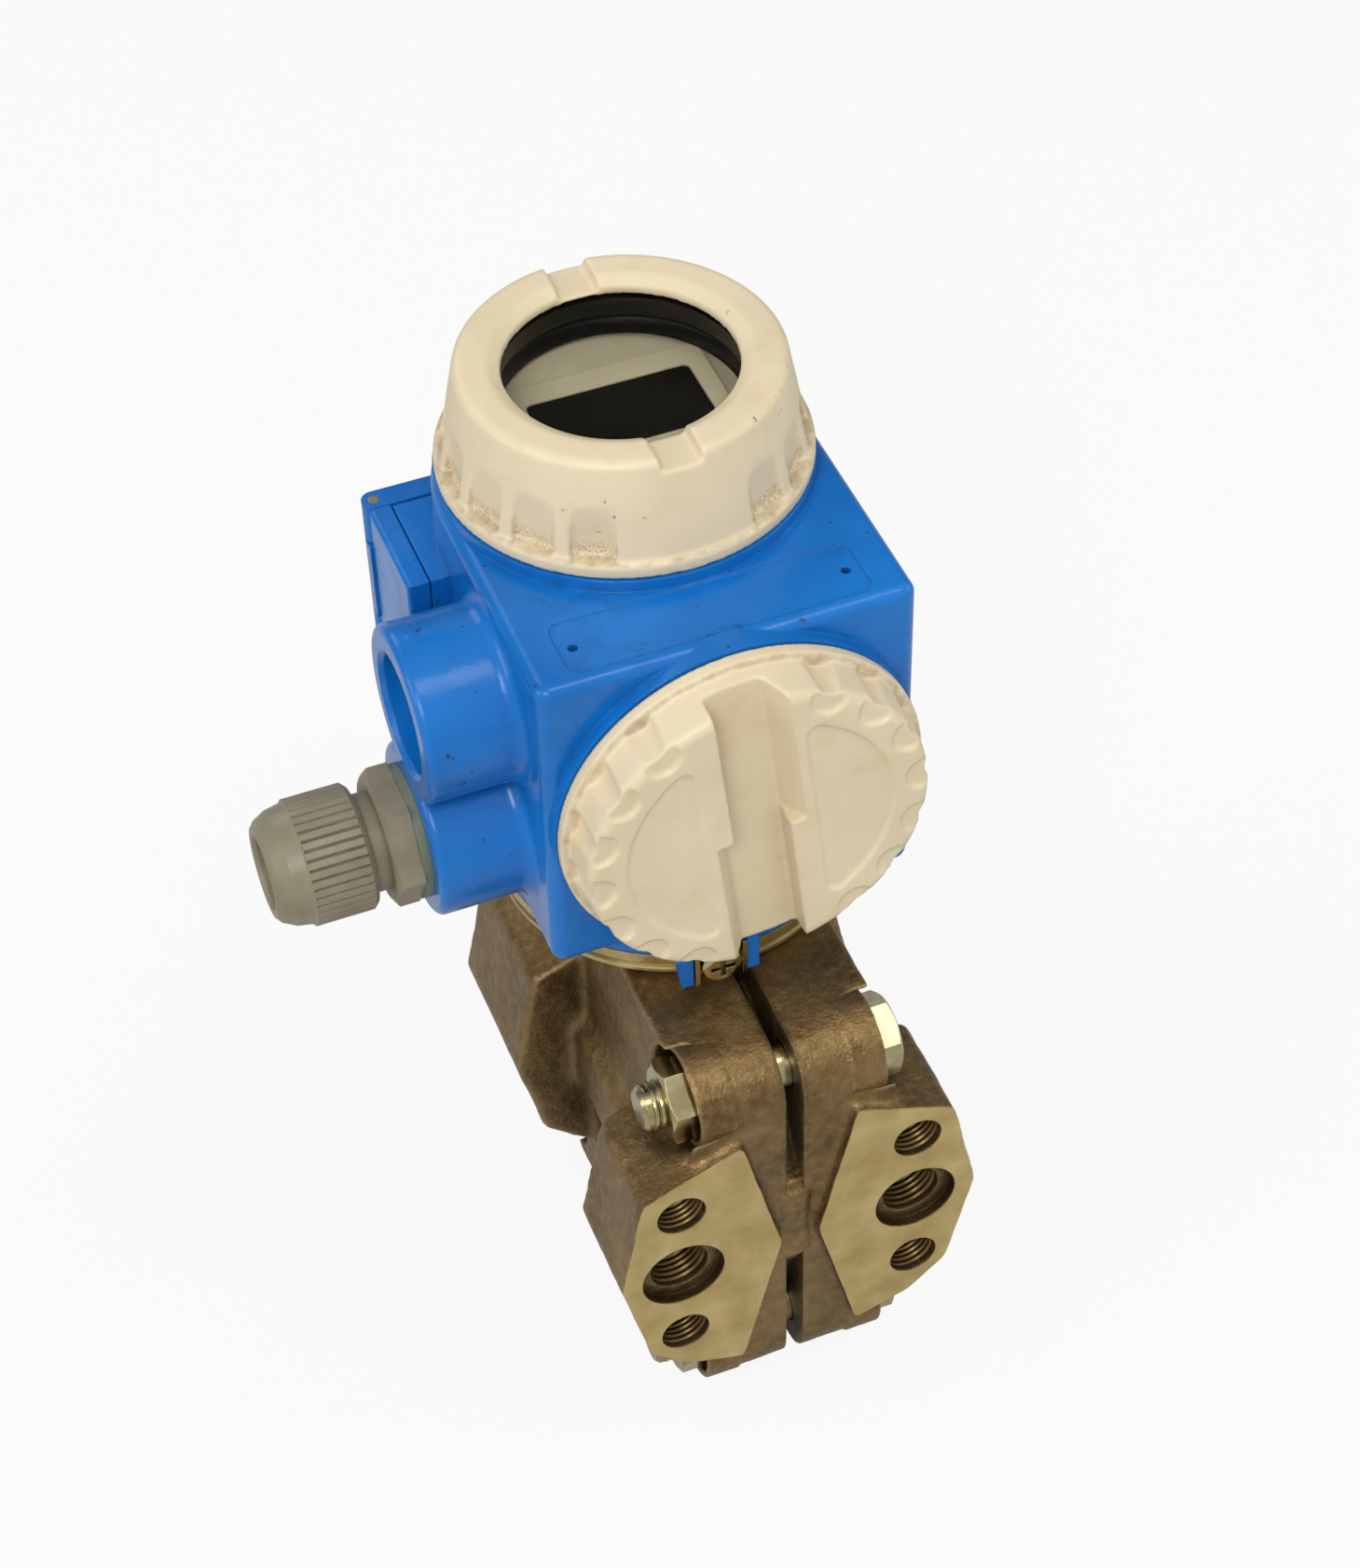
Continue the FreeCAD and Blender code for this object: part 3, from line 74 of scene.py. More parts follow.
# In millimetres.
FLANGE_BACK = 101.0      # the rear face of a flange; its front face is at Y 0
PORT_X = 27.0            # a port's axis, on either side of the slot
HOLE_RISE = 20.65        # a fixing hole's axis, above or below the port
FIXING_RADIUS = 5.5
PORT_RADIUS = 6.6
SEAT_X = 17.5            # what a nut or a bolt head bears on
BOLT_BACKS = (14, 87)    # the clamp bolts' axes, in Y
BOLT_RISES = (41.5, -41.5)
BOLT_TIP_X = -29.9       # the bolts' ends, beyond the nuts
POCKET_RADIUS = 11.3     # the cast pockets round the nuts and the bolt heads


# ---------------------------------------------------------------- node helpers

class Graph:
    """A material's node tree, with short calls to add and link nodes."""

    def __init__(self, name):
        self.material = bpy.data.materials.new(name)
        self.material.use_nodes = True
        self.tree = self.material.node_tree
        self.tree.nodes.clear()
        self.output = self.add("OutputMaterial")
        self.coords = self.add("TexCoord").outputs["Object"]

    def add(self, kind, **inputs):
        node = self.tree.nodes.new("ShaderNode" + kind)
        for key, value in inputs.items():
            self.put(node, key.replace("_", " "), value)
        return node

    def put(self, node, key, value):
        """Sets or links an input, by its name or, as i0, i1 and so on, by its number."""
        numbered = key[0] == "i" and key[1:].isdigit()
        socket = node.inputs[int(key[1:]) if numbered else key]
        if isinstance(value, bpy.types.NodeSocket):
            self.tree.links.new(value, socket)
        else:
            socket.default_value = value

    def noise(self, scale, detail=3.0, rough=0.55):
        node = self.add("TexNoise", Scale=scale, Detail=detail, Roughness=rough,
                        Vector=self.coords)
        return node.outputs["Fac"]

    def remap(self, value, low, high, to_low=0.0, to_high=1.0):
        node = self.add("MapRange", Value=value, From_Min=low, From_Max=high,
                        To_Min=to_low, To_Max=to_high)
        return node.outputs["Result"]

    def math(self, operation, first, second=0.0):
        node = self.add("Math", i0=first, i1=second)
        node.operation = operation
        return node.outputs[0]

    def times(self, first, second):
        return self.math("MULTIPLY", first, second)

    def mix(self, factor, first, second):
        node = self.add("Mix")
        node.data_type = "RGBA"
        for key, value in (("i0", factor), ("i6", first), ("i7", second)):
            self.put(node, key, value)
        return node.outputs[2]

    def hollow(self, reach, low, high):
        """1 deep in a corner or recess, 0 out in the open."""
        node = self.add("AmbientOcclusion", Distance=reach)
        node.samples = 8
        node.only_local = True
        return self.remap(node.outputs["AO"], high, low)

    def bump(self, height, depth, strength, normal=None):
        node = self.add("Bump", Height=height, Distance=depth, Strength=strength)
        if normal is not None:
            self.put(node, "Normal", normal)
        return node.outputs["Normal"]

    def soft_edges(self, radius):
        node = self.add("Bevel", Radius=radius)
        node.samples = 4
        return node.outputs["Normal"]

    def surface(self, **inputs):
        shader = self.add("BsdfPrincipled", **inputs)
        self.put(self.output, "Surface", shader.outputs[0])
        return shader

    def blend(self, factor, first, second):
        """Shows the first shader where the factor is 0, and the second where it is 1."""
        node = self.add("MixShader", i0=factor, i1=first.outputs[0], i2=second.outputs[0])
        self.put(self.output, "Surface", node.outputs[0])

    def axis(self, letter):
        node = self.add("SeparateXYZ", Vector=self.coords)
        return node.outputs[letter]

    def near(self, letter, level, reach):
        """1 near a level along an axis of the frame, and 0 beyond reach."""
        off = self.math("ABSOLUTE", self.math("SUBTRACT", self.axis(letter), level))
        return self.remap(off, reach, reach * 0.3)

    def inside_wall(self):
        """1 in the display cover's finger recesses, which lie nearer to its axis than its wall."""
        x = self.axis("X")
        y = self.math("SUBTRACT", self.axis("Y"), COVER_AXIS_Y)
        radius = self.math("SQRT", self.math("ADD", self.times(x, x), self.times(y, y)))
        wall, recess = 0.0366, 0.0361
        return self.remap(radius, wall, recess)


def srgb(r, g, b):
    """A colour from 0 to 255 as it is seen, in the linear values that the nodes take."""
    def linear(c):
        c = c / 255
        return c / 12.92 if c <= 0.04045 else ((c + 0.055) / 1.055) ** 2.4
    return (linear(r), linear(g), linear(b), 1.0)


# ---------------------------------------------------------------- materials

def blue_enamel():
    """Glossy blue paint: slight orange peel, soiling and painted shade in the corners, smears and a
    few chips.
    """
    g = Graph("blue_enamel")
    base = g.mix(g.remap(g.noise(45, 2), 0.35, 0.7), srgb(11, 99, 178), srgb(18, 112, 194))
    # Painted shade: an ambient-occlusion mask darkens the blue in the corners, broken up by noise
    # as soiling.
    grime_and_shade = g.times(g.hollow(0.005, 0.25, 0.75), g.remap(g.noise(240, 5), 0.36, 0.66))
    base = g.mix(g.times(grime_and_shade, 0.6), base, srgb(22, 42, 66))
    smear = g.times(g.remap(g.noise(28, 3), 0.56, 0.72), g.remap(g.noise(210, 4), 0.5, 0.7))
    base = g.mix(g.times(smear, 0.45), base, srgb(18, 56, 104))
    chip = g.remap(g.noise(480, 2, 0.4), 0.745, 0.765)
    base = g.mix(g.times(chip, 0.7), base, srgb(26, 38, 52))
    normal = g.bump(g.noise(420, 2), 0.00012, 0.6, g.soft_edges(0.0006))
    rough = g.remap(g.noise(120, 3), 0.3, 0.7, 0.15, 0.27)
    g.surface(Base_Color=base, Roughness=rough, Normal=normal, Specular_IOR_Level=0.32)
    return g.material


def cream_enamel():
    """Satin cream paint, with brown soiling where the covers' walls meet their rims and in the
    display cover's finger recesses, brown discolouring mixed with painted shade in all its
    recesses, and chips where it is worn."""
    g = Graph("cream_enamel")
    base = g.mix(g.remap(g.noise(38, 3), 0.35, 0.7), srgb(213, 198, 167), srgb(221, 207, 176))
    cloud = g.remap(g.noise(90, 4), 0.55, 0.75)
    base = g.mix(g.times(cloud, 0.35), base, srgb(202, 178, 132))
    # Partly soiling and partly painted shade: an ambient-occlusion mask, broken up by noise, lays
    # brown into the recesses.
    stain_and_shade = g.times(g.hollow(0.006, 0.3, 0.85), g.remap(g.noise(150, 5, 0.65), 0.38, 0.66))
    base = g.mix(g.times(stain_and_shade, 0.5), base, srgb(158, 132, 92))
    seams = g.math("MAXIMUM", g.near("Z", COVER_SEAM_Z, 0.0006),
                   g.near("Y", COVER_SEAM_Y, 0.00045))
    line = g.times(seams, g.remap(g.noise(260, 5, 0.7), 0.4, 0.7))
    base = g.mix(g.times(line, 0.5), base, srgb(112, 82, 54))
    low = g.near("Z", COVER_SEAM_Z + 0.0016, 0.0026)
    speck = g.times(g.times(low, g.remap(g.noise(2400, 3), 0.5, 0.6)), g.inside_wall())
    base = g.mix(g.times(speck, 0.55), base, srgb(98, 74, 56))
    worn = g.remap(g.noise(22, 2), 0.56, 0.62)
    chip = g.times(g.remap(g.noise(560, 2, 0.4), 0.735, 0.75), worn)
    base = g.mix(g.times(chip, 0.6), base, srgb(84, 74, 60))
    normal = g.bump(g.noise(900, 2), 0.00006, 0.5, g.soft_edges(0.0005))
    rough = g.remap(g.noise(90, 3), 0.3, 0.7, 0.36, 0.5)
    g.surface(Base_Color=base, Roughness=rough, Normal=normal)
    return g.material


def cast_steel():
    """Rough casting with pale worn edges that also carry a painted highlight, painted shade in its
    hollows and a painted shadow in the slot.  The ends of the flanges are machined."""
    g = Graph("cast_steel")
    deep = g.axis("Y")
    ends = g.math("MAXIMUM", g.remap(deep, 0.0003, 0.0001), g.remap(deep, 0.1007, 0.1009))
    tone = g.mix(g.remap(g.noise(60, 4), 0.3, 0.7), srgb(96, 75, 42), srgb(138, 113, 72))
    fine = g.remap(g.noise(500, 4), 0.4, 0.8)
    tone = g.mix(g.times(fine, 0.5), tone, srgb(166, 141, 100))
    # Painted shade: an ambient-occlusion mask darkens the casting's hollows to near black.
    tone = g.mix(g.times(g.hollow(0.018, 0.4, 0.9), 0.85), tone, srgb(34, 25, 11))
    # Pale convex edges: partly wear, partly a painted highlight standing in for the light the edges
    # catch.
    edge = g.remap(g.add("NewGeometry").outputs["Pointiness"], 0.515, 0.6)
    tone = g.mix(g.times(edge, 0.6), tone, srgb(204, 178, 138))
    # Painted shadow: the deep part of the slot between the flanges is painted near black.
    slot = g.times(g.near("X", 0.0, 0.0034), g.remap(deep, 0.0036, 0.007))
    tone = g.mix(g.times(slot, 0.85), tone, srgb(24, 18, 9))
    face = g.mix(g.remap(g.noise(90, 3), 0.35, 0.7), srgb(178, 155, 98), srgb(206, 186, 130))
    base = g.mix(ends, tone, face)
    grain = g.math("ADD", g.times(g.noise(1500, 3), 0.5), g.noise(330, 3))
    rough_normal = g.bump(grain, 0.0005, 0.8, g.soft_edges(0.0008))
    tool = g.add("TexWave", Scale=420.0, Distortion=0.6, Vector=g.coords)
    smooth_normal = g.bump(tool.outputs["Fac"], 0.00002, 0.4)
    pick = g.add("Mix")
    pick.data_type = "VECTOR"
    for key, value in (("i0", ends), ("i4", rough_normal), ("i5", smooth_normal)):
        g.put(pick, key, value)
    rough = g.remap(g.noise(260, 3), 0.3, 0.7, 0.32, 0.46)
    g.surface(Base_Color=base, Metallic=0.8, Roughness=rough, Normal=pick.outputs[1])
    return g.material


def turned_steel(name, low, high, rough, metal=0.9):
    """Machined or plated metal between two colours, with painted brown shade in its corners."""
    g = Graph(name)
    base = g.mix(g.remap(g.noise(160, 3), 0.35, 0.65), srgb(*low), srgb(*high))
    # Painted shade: an ambient-occlusion mask darkens corners and the insides of bores to brown.
    base = g.mix(g.times(g.hollow(0.003, 0.2, 0.7), 0.75), base, srgb(50, 38, 22))
    normal = g.bump(g.noise(1600, 2), 0.00002, 0.4, g.soft_edges(0.0003))
    worn = g.remap(g.noise(350, 3), 0.3, 0.7, rough, rough + 0.1)
    g.surface(Base_Color=base, Metallic=metal, Roughness=worn, Normal=normal)
    return g.material


def moulded(name, low, high, rough, grain=0.00006, shine=0.5):
    """Plastic or rubber between two colours, with soiling and painted shade in its corners."""
    g = Graph(name)
    base = g.mix(g.remap(g.noise(80, 4), 0.3, 0.7), srgb(*low), srgb(*high))
    # Partly soiling and partly painted shade: an ambient-occlusion mask, broken up by noise,
    # darkens the corners.
    dirt_and_shade = g.times(g.hollow(0.0025, 0.2, 0.75), g.remap(g.noise(300, 4), 0.3, 0.6))
    base = g.mix(g.times(dirt_and_shade, 0.6), base, srgb(70, 62, 44))
    normal = g.bump(g.noise(1800, 2), grain, 0.5, g.soft_edges(0.0003))
    worn = g.remap(g.noise(200, 3), 0.3, 0.7, rough - 0.06, rough + 0.08)
    g.surface(Base_Color=base, Roughness=worn, Normal=normal, Specular_IOR_Level=shine)
    return g.material


def lcd_glass():
    """A display that is switched off."""
    g = Graph("lcd_glass")
    base = g.mix(g.remap(g.noise(500, 2), 0.4, 0.6), srgb(13, 11, 5), srgb(19, 17, 9))
    g.surface(Base_Color=base, Roughness=0.2, Specular_IOR_Level=0.1)
    return g.material


def clear_glass():
    """Glass that lets the light through to what lies under it."""
    g = Graph("clear_glass")
    smear = g.remap(g.noise(60, 4), 0.4, 0.8, 0.01, 0.05)
    shader = g.surface(Base_Color=(0.84, 0.85, 0.83, 1), Roughness=smear,
                       Transmission_Weight=1.0, IOR=1.12)
    clear = g.add("BsdfTransparent", Color=(0.72, 0.72, 0.7, 1))
    g.blend(g.add("LightPath").outputs["Is Shadow Ray"], shader, clear)
    return g.material


MATERIALS = {
    "blue_coating": blue_enamel(),
    "cream_coating": cream_enamel(),
    "cast_steel": cast_steel(),
    "capsule_steel": turned_steel("capsule_steel", (170, 148, 96), (198, 178, 128), 0.3),
    "zinc_steel": turned_steel("zinc_steel", (166, 154, 114), (196, 186, 150), 0.16, metal=1.0),
    # A darker copy of the thread steel for the threads deep in the bores: painted shade.
    "shaded_bore_steel": turned_steel("shaded_bore_steel", (92, 74, 44), (128, 106, 68), 0.34),
    "sealing_rubber": moulded("sealing_rubber", (22, 22, 22), (34, 33, 31), 0.6),
    "window_glass": clear_glass(),
    "black_trim": moulded("black_trim", (4, 3, 2), (8, 6, 4), 0.2, shine=0.35),
    "display_grey": moulded("display_grey", (178, 168, 142), (188, 178, 152), 0.5,
                            grain=0.00003, shine=0.2),
    "display_lcd": lcd_glass(),
    "module_can": moulded("module_can", (60, 60, 62), (74, 74, 76), 0.5),
    "gland_plastic": moulded("gland_plastic", (116, 108, 86), (138, 131, 110), 0.42),
    "gland_seal": moulded("gland_seal", (98, 108, 92), (116, 124, 106), 0.55),
}

SLOTS = {row["node"]: row["material_slot"] for row in frame["record"]["subparts"]}
for node, obj in frame["nodes"].items():
    obj.data.materials.clear()
    obj.data.materials.append(MATERIALS[SLOTS[node]])


# ---------------------------------------------------------------- pieces

def object_of(name, bm):
    """A new object with the mesh that bm holds; bm is freed."""
    mesh = bpy.data.meshes.new(name)
    bm.to_mesh(mesh)
    bm.free()
    obj = bpy.data.objects.new(name, mesh)
    bpy.context.collection.objects.link(obj)
    return obj


def shade(mesh, angle):
    """Smooth shading, with sharp edges where faces meet at more than an angle in degrees."""
    mesh.shade_smooth()
    mesh.set_sharp_from_angle(angle=math.radians(angle))


def piece(name, body, slot_name, bm, smooth_angle):
    """A finished piece on a body, from a bmesh in metres."""
    bmesh.ops.recalc_face_normals(bm, faces=bm.faces)
    obj = object_of(name, bm)
    obj.data.materials.append(MATERIALS[slot_name])
    shade(obj.data, smooth_angle)
    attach(obj, body)
    return obj


def towards(axis):
    """Turns local Z to the axis."""
    return Vector((0, 0, 1)).rotation_difference(Vector(axis)).to_matrix().to_4x4()


def join_rings(bm, rings, closed):
    """Faces between rings of vertices; closed joins the last ring to the first one."""
    for here, there in zip(rings, rings[1:] + rings[:1] if closed else rings[1:]):
        for i in range(len(here)):
            j = (i + 1) % len(here)
            bm.faces.new((here[i], here[j], there[j], there[i]))


def thread(name, body, slot_name, mouth, axis, radius, depth, pitch, length, inside=True,
           finish=None):
    """A helical thread band: ridges of the given depth on a cylinder that starts at the mouth and
    runs against the axis.  inside=True points the ridges to the axis, and False away from it.
    The finish is a material to show in place of the slot's own.  Lengths are in millimetres."""
    bm = bmesh.new()
    radius, depth, pitch, length = radius * MM, depth * MM, pitch * MM, length * MM
    steps = 40
    turns = int(length / pitch)
    sign = -1 if inside else 1
    root = radius + sign * 0.00003    # just clear of the plain bore or shank
    shape = ((0.0, 0.0), (0.35, 1.0), (0.55, 1.0), (0.9, 0.0))    # of one ridge, in pitch and depth
    rings = []
    for i in range(steps * turns + 1):
        angle = 2 * math.pi * i / steps
        fade = min(1.0, i / steps, (steps * turns - i) / steps)    # over the end turns
        low = pitch * i / steps
        ring = []
        for along, out in shape:
            r = root + sign * depth * out * max(fade, 0.02)
            ring.append(bm.verts.new((r * math.cos(angle), r * math.sin(angle),
                                      -(low + along * pitch))))
        rings.append(ring)
    join_rings(bm, rings, False)
    for ring in (rings[0], rings[-1]):
        bm.faces.new(ring)
    bm.transform(Matrix.Translation([c * MM for c in mouth]) @ towards(axis))
    obj = piece(name, body, slot_name, bm, 60)
    if finish:
        obj.data.materials[0] = MATERIALS[finish]


def prism(bm, corners, low, high, turn_to):
    """Adds a closed prism: a flat outline of corners, from low to high along local Z."""
    rings = [[bm.verts.new(turn_to @ Vector((x, y, z))) for x, y in corners] for z in (low, high)]
    bm.faces.new(rings[0][::-1])
    bm.faces.new(rings[1])
    join_rings(bm, rings, False)


def ring_of(radius, centre, steps=64):
    """The corners of a circle's outline."""
    return [(centre[0] + radius * math.cos(2 * math.pi * i / steps),
             centre[1] + radius * math.sin(2 * math.pi * i / steps)) for i in range(steps)]


# A prism's outline lies in Y and Z, X and Z or X and Y, and it runs along the third axis.
ALONG = {"X": Matrix(((0, 0, 1), (1, 0, 0), (0, 1, 0))),
         "Y": Matrix(((1, 0, 0), (0, 0, 1), (0, 1, 0))),
         "Z": Matrix.Identity(3)}


def solid(name, prisms):
    """A closed mesh object of prisms in millimetres: (axis, outline, low, high) each."""
    bm = bmesh.new()
    for axis, corners, low, high in prisms:
        prism(bm, corners, low, high, ALONG[axis])
    bmesh.ops.recalc_face_normals(bm, faces=bm.faces)
    bm.transform(Matrix.Scale(MM, 4))
    return object_of(name, bm)


def settle(obj):
    """Applies an object's modifiers, as its own new mesh."""
    graph = bpy.context.evaluated_depsgraph_get()
    mesh = bpy.data.meshes.new_from_object(obj.evaluated_get(graph))
    obj.modifiers.clear()
    obj.data = mesh


def skin(obj, voxel, rounds):
    """Modifiers that wrap an object in one even mesh, with voxels in millimetres, and round its
    edges in rounds of smoothing."""
    remesh = obj.modifiers.new("skin", "REMESH")
    remesh.mode = "VOXEL"
    remesh.voxel_size = voxel * MM
    remesh.use_smooth_shade = True
    if rounds:
        smooth = obj.modifiers.new("soft", "SMOOTH")
        smooth.factor = 0.5
        smooth.iterations = rounds


def lump(obj, sizes):
    """An uneven skin, from (size in metres, depth in millimetres) of each kind of lump."""
    for size, depth in sizes:
        lumps = bpy.data.textures.new("lumps", "CLOUDS")
        lumps.noise_scale = size
        shift = obj.modifiers.new("lumps", "DISPLACE")
        shift.texture = lumps
        shift.strength = depth * MM
        shift.mid_level = 0.5


def cut_away(obj, shapes):
    """Cuts solids out of an object; each shape is a list of prisms."""
    cutters = [solid("cutter", shape) for shape in shapes]
    for cutter in cutters:
        cut = obj.modifiers.new("cut", "BOOLEAN")
        cut.operation = "DIFFERENCE"
        cut.solver = "MANIFOLD"
        cut.object = cutter
    settle(obj)
    for cutter in cutters:
        bpy.data.objects.remove(cutter)


def cast_piece(obj):
    """Puts a finished mesh on the process end, in cast steel."""
    obj.data.materials.clear()
    obj.data.materials.append(MATERIALS["cast_steel"])
    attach(obj, "sensor_cell")


# The outline of the right flange's machined end face, in X and Z.
HEX_FACE = ((4.4, 0), (13, 36.5), (35.5, 27), (41, 0), (35, -25), (26, -33), (13.4, -37))
# The lumps of a sand casting, coarse and fine.
LUMPS = ((0.009, 0.55), (0.0025, 0.16))
FINE_LUMPS = LUMPS[1:]


def hole_prisms(x, grow, start):
    """The bores in one end of a flange: two fixing holes, the port and its counterbore.  They run
    inwards from start, the machined face, and grow is added to their radius."""
    into = 1 if start == 0 else -1
    bores = []
    for rise, radius, depth in ((HOLE_RISE, FIXING_RADIUS, 19), (-HOLE_RISE, FIXING_RADIUS, 19),
                                (0, PORT_RADIUS, 21), (0, 9.4, 2.6)):
        ends = sorted((start - into * 3, start + into * depth))
        bores.append(("Y", ring_of(radius + grow, (x, rise)), *ends))
    return bores


def rounded_plate(low, high, half, radius, steps=12):
    """Outline of the clamping plate in Y and Z, with a bolt boss at each corner."""
    corners = []
    for k, (y, z) in enumerate(((high, half), (low, half), (low, -half), (high, -half))):
        middle_y = y - radius if y > low else y + radius
        middle_z = z - math.copysign(radius, z)
        for i in range(steps + 1):
            angle = math.pi / 2 * (k + i / steps)
            corners.append((middle_y + radius * math.cos(angle),
                            middle_z + radius * math.sin(angle)))
    return corners


def casting(node, side):
    """A flange as it leaves the sand, with soft edges and a lumpy skin, then its faces and bores
    cut; side is -1 or 1."""
    # The CAD solid with spare metal where it is machined later, and its bores filled.
    outline = [(side * x, z) for x, z in HEX_FACE]
    blank = [("Y", outline, -2.5, 1.8), ("Y", outline, FLANGE_BACK - 1.8, FLANGE_BACK + 2.5)]
    for start in (0, FLANGE_BACK):
        blank += hole_prisms(side * PORT_X, 0.2, start)[:3]
    for low, high in ((0.4, 2.2), (12, 23.2)):
        ends = sorted((side * low, side * high))
        blank.append(("X", rounded_plate(3, 98, 52.5, 11), *ends))
    body = solid("casting_" + node, blank)
    bm = bmesh.new()
    bm.from_mesh(frame["nodes"][node].data)
    bm.from_mesh(body.data)
    bm.to_mesh(body.data)
    bm.free()

    # The cast pockets, before the skin rounds them.
    out = sorted((side * SEAT_X, side * 60))
    seats = [(back, rise) for back in BOLT_BACKS for rise in BOLT_RISES]
    pockets = [[("X", ring_of(POCKET_RADIUS, seat), *out)] for seat in seats]
    skin(body, 0.8, 0)
    cut_away(body, pockets)
    skin(body, 0.8, 16)
    lump(body, LUMPS)
    settle(body)

    # The machining: end faces, slot, capsule recess, neck, bores, pockets and bolt holes.
    end_face = [(-60, -70), (60, -70), (60, 70), (-60, 70)]
    cuts = [[("Y", end_face, -9, 0)],
            [("Y", end_face, FLANGE_BACK, FLANGE_BACK + 9)],
            [("X", [(-9, -70), (110, -70), (110, 70), (-9, 70)], -2, 2)],
            [("X", ring_of(38.3, (50.5, 0), 96), -9, 9)],
            [("Z", ring_of(7.8, (0, 72)), 0, 60)]]
    for start in (0, FLANGE_BACK):
        cuts += [[bore] for bore in hole_prisms(side * PORT_X, 0, start)]
    deep = sorted((0, side * 30))
    for seat, pocket in zip(seats, pockets):
        cuts += [pocket, [("X", ring_of(5.4, seat), *deep)]]
    cut_away(body, cuts)
    shade(body.data, 38)
    cast_piece(body)
    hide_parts(node)


def rim_between():
    """The cast rim of the sensor body, which closes the slot at mid height."""
    blocks = []
    for low, high, back in ((-10, 12, 0), (-12.5, 14.5, 1.3), (-14.5, 16.5, 3.6)):
        wide = 5.2 - back * 0.5
        outline = [(-wide, 3.5 + back), (-2.6, 2.6 + back), (0, 2.3 + back), (2.6, 2.6 + back),
                   (wide, 3.5 + back), (wide, 13), (-wide, 13)]
        blocks.append(("Z", outline, low, high))
    rim = solid("sensor_rim", blocks)
    skin(rim, 0.5, 10)
    lump(rim, FINE_LUMPS)
    settle(rim)
    cast_piece(rim)


def pocket_lips(side, word):
    """The raised rims of one side's cast pockets, which are open towards the flange's waist."""
    inner, first, span, steps = 9.9, -75, 215, 40
    shape = []
    for back, turn in zip(BOLT_BACKS, (1, -1)):
        for rise in BOLT_RISES:
            flip = math.copysign(1, rise)
            for outer, low, high in ((10.8, 9.5, 14.0), (11.4, 13.0, 21.0)):
                ring = []
                for radius, way in ((outer, 1), (inner, -1)):
                    for i in range(steps + 1)[::way]:
                        a = math.radians(first + span * i / steps)
                        ring.append((back - turn * radius * math.cos(a),
                                     rise + flip * radius * math.sin(a)))
                shape.append(("X", ring, *sorted((side * low, side * high))))
    lips = solid("pocket_lips_" + word, shape)
    skin(lips, 0.45, 3)
    lump(lips, ((0.009, 0.3), *FINE_LUMPS))
    settle(lips)
    cast_piece(lips)


def display_bezel():
    """The black rim that holds the display's face in the electronics."""
    profile = ((27.2, 157.85), (27.2, 160.6), (26.7, 161.1), (26.3, 160.9), (25.3, 159.0),
               (25.1, 157.85))    # radius and Z
    bm = bmesh.new()
    steps = 120
    rings = [[bm.verts.new((radius * MM * math.cos(2 * math.pi * i / steps),
                            COVER_AXIS_Y + radius * MM * math.sin(2 * math.pi * i / steps), z * MM))
              for i in range(steps)] for radius, z in profile]
    join_rings(bm, rings, True)
    piece("display_bezel", "housing", "black_trim", bm, 30)


def hex_nut(node, back, rise, turn):
    """A nut with chamfered corners, as it stands after tightening, turned in degrees."""
    half = 8.0     # half of what a spanner spans
    end = 7.7      # the radius where the chamfer starts
    bore = 5.0
    low, high = -25.9, -SEAT_X
    steps = 120
    bm = bmesh.new()
    rings = [[] for _ in range(6)]
    for i in range(steps):
        a = 2 * math.pi * i / steps
        reach = half / math.cos((a + math.pi / 6) % (math.pi / 3) - math.pi / 6)
        slope = (reach - end) * math.tan(math.radians(30))
        profile = ((bore, low), (end, low), (reach, low + slope),
                   (reach, high - slope), (end, high), (bore, high))    # radius and X
        spin = a + math.radians(turn)
        for ring, (radius, x) in zip(rings, profile):
            ring.append(bm.verts.new((x * MM, (back + radius * math.cos(spin)) * MM,
                                      (rise + radius * math.sin(spin)) * MM)))
    join_rings(bm, rings, True)
    obj = piece("hex_" + node, "sensor_cell", "zinc_steel", bm, 25)
    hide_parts(node)


def threads():
    """The threads of the fixing holes, the ports, the clamp bolts and the upper cable entry."""
    fine, coarse, metric = 1.27, 1.41, 1.5
    # The threads of the fixing holes and the ports show in the darker steel copy, painted shade for
    # the depth of their bores.
    for side, word in ((-1, "left"), (1, "right")):
        for where, y, out in (("front", 0, -1), ("rear", FLANGE_BACK, 1)):
            for rise, level in ((HOLE_RISE, "upper"), (-HOLE_RISE, "lower")):
                thread("thread_fixing_%s_%s_%s" % (word, where, level), "sensor_cell",
                       "capsule_steel", (side * PORT_X, y - out * 0.6, rise), (0, out, 0),
                       FIXING_RADIUS, 0.6, fine, 17, finish="shaded_bore_steel")
        thread("thread_port_" + word, "sensor_cell", "capsule_steel", (side * PORT_X, 2.9, 0),
               (0, -1, 0), PORT_RADIUS, 0.7, coarse, 15.5, finish="shaded_bore_steel")
    for back, place in zip(BOLT_BACKS, ("front", "rear")):
        for rise, level in zip(BOLT_RISES, ("upper", "lower")):
            thread("thread_bolt_%s_%s" % (level, place), "sensor_cell", "zinc_steel",
                   (BOLT_TIP_X, back, rise), (-1, 0, 0), 5, 0.25, metric, 4.6, inside=False)
    thread("thread_cable_entry", "housing", "blue_coating", (-52.4, 63, 122.75), (-1, 0, 0),
           9.7, 0.6, metric, 20)


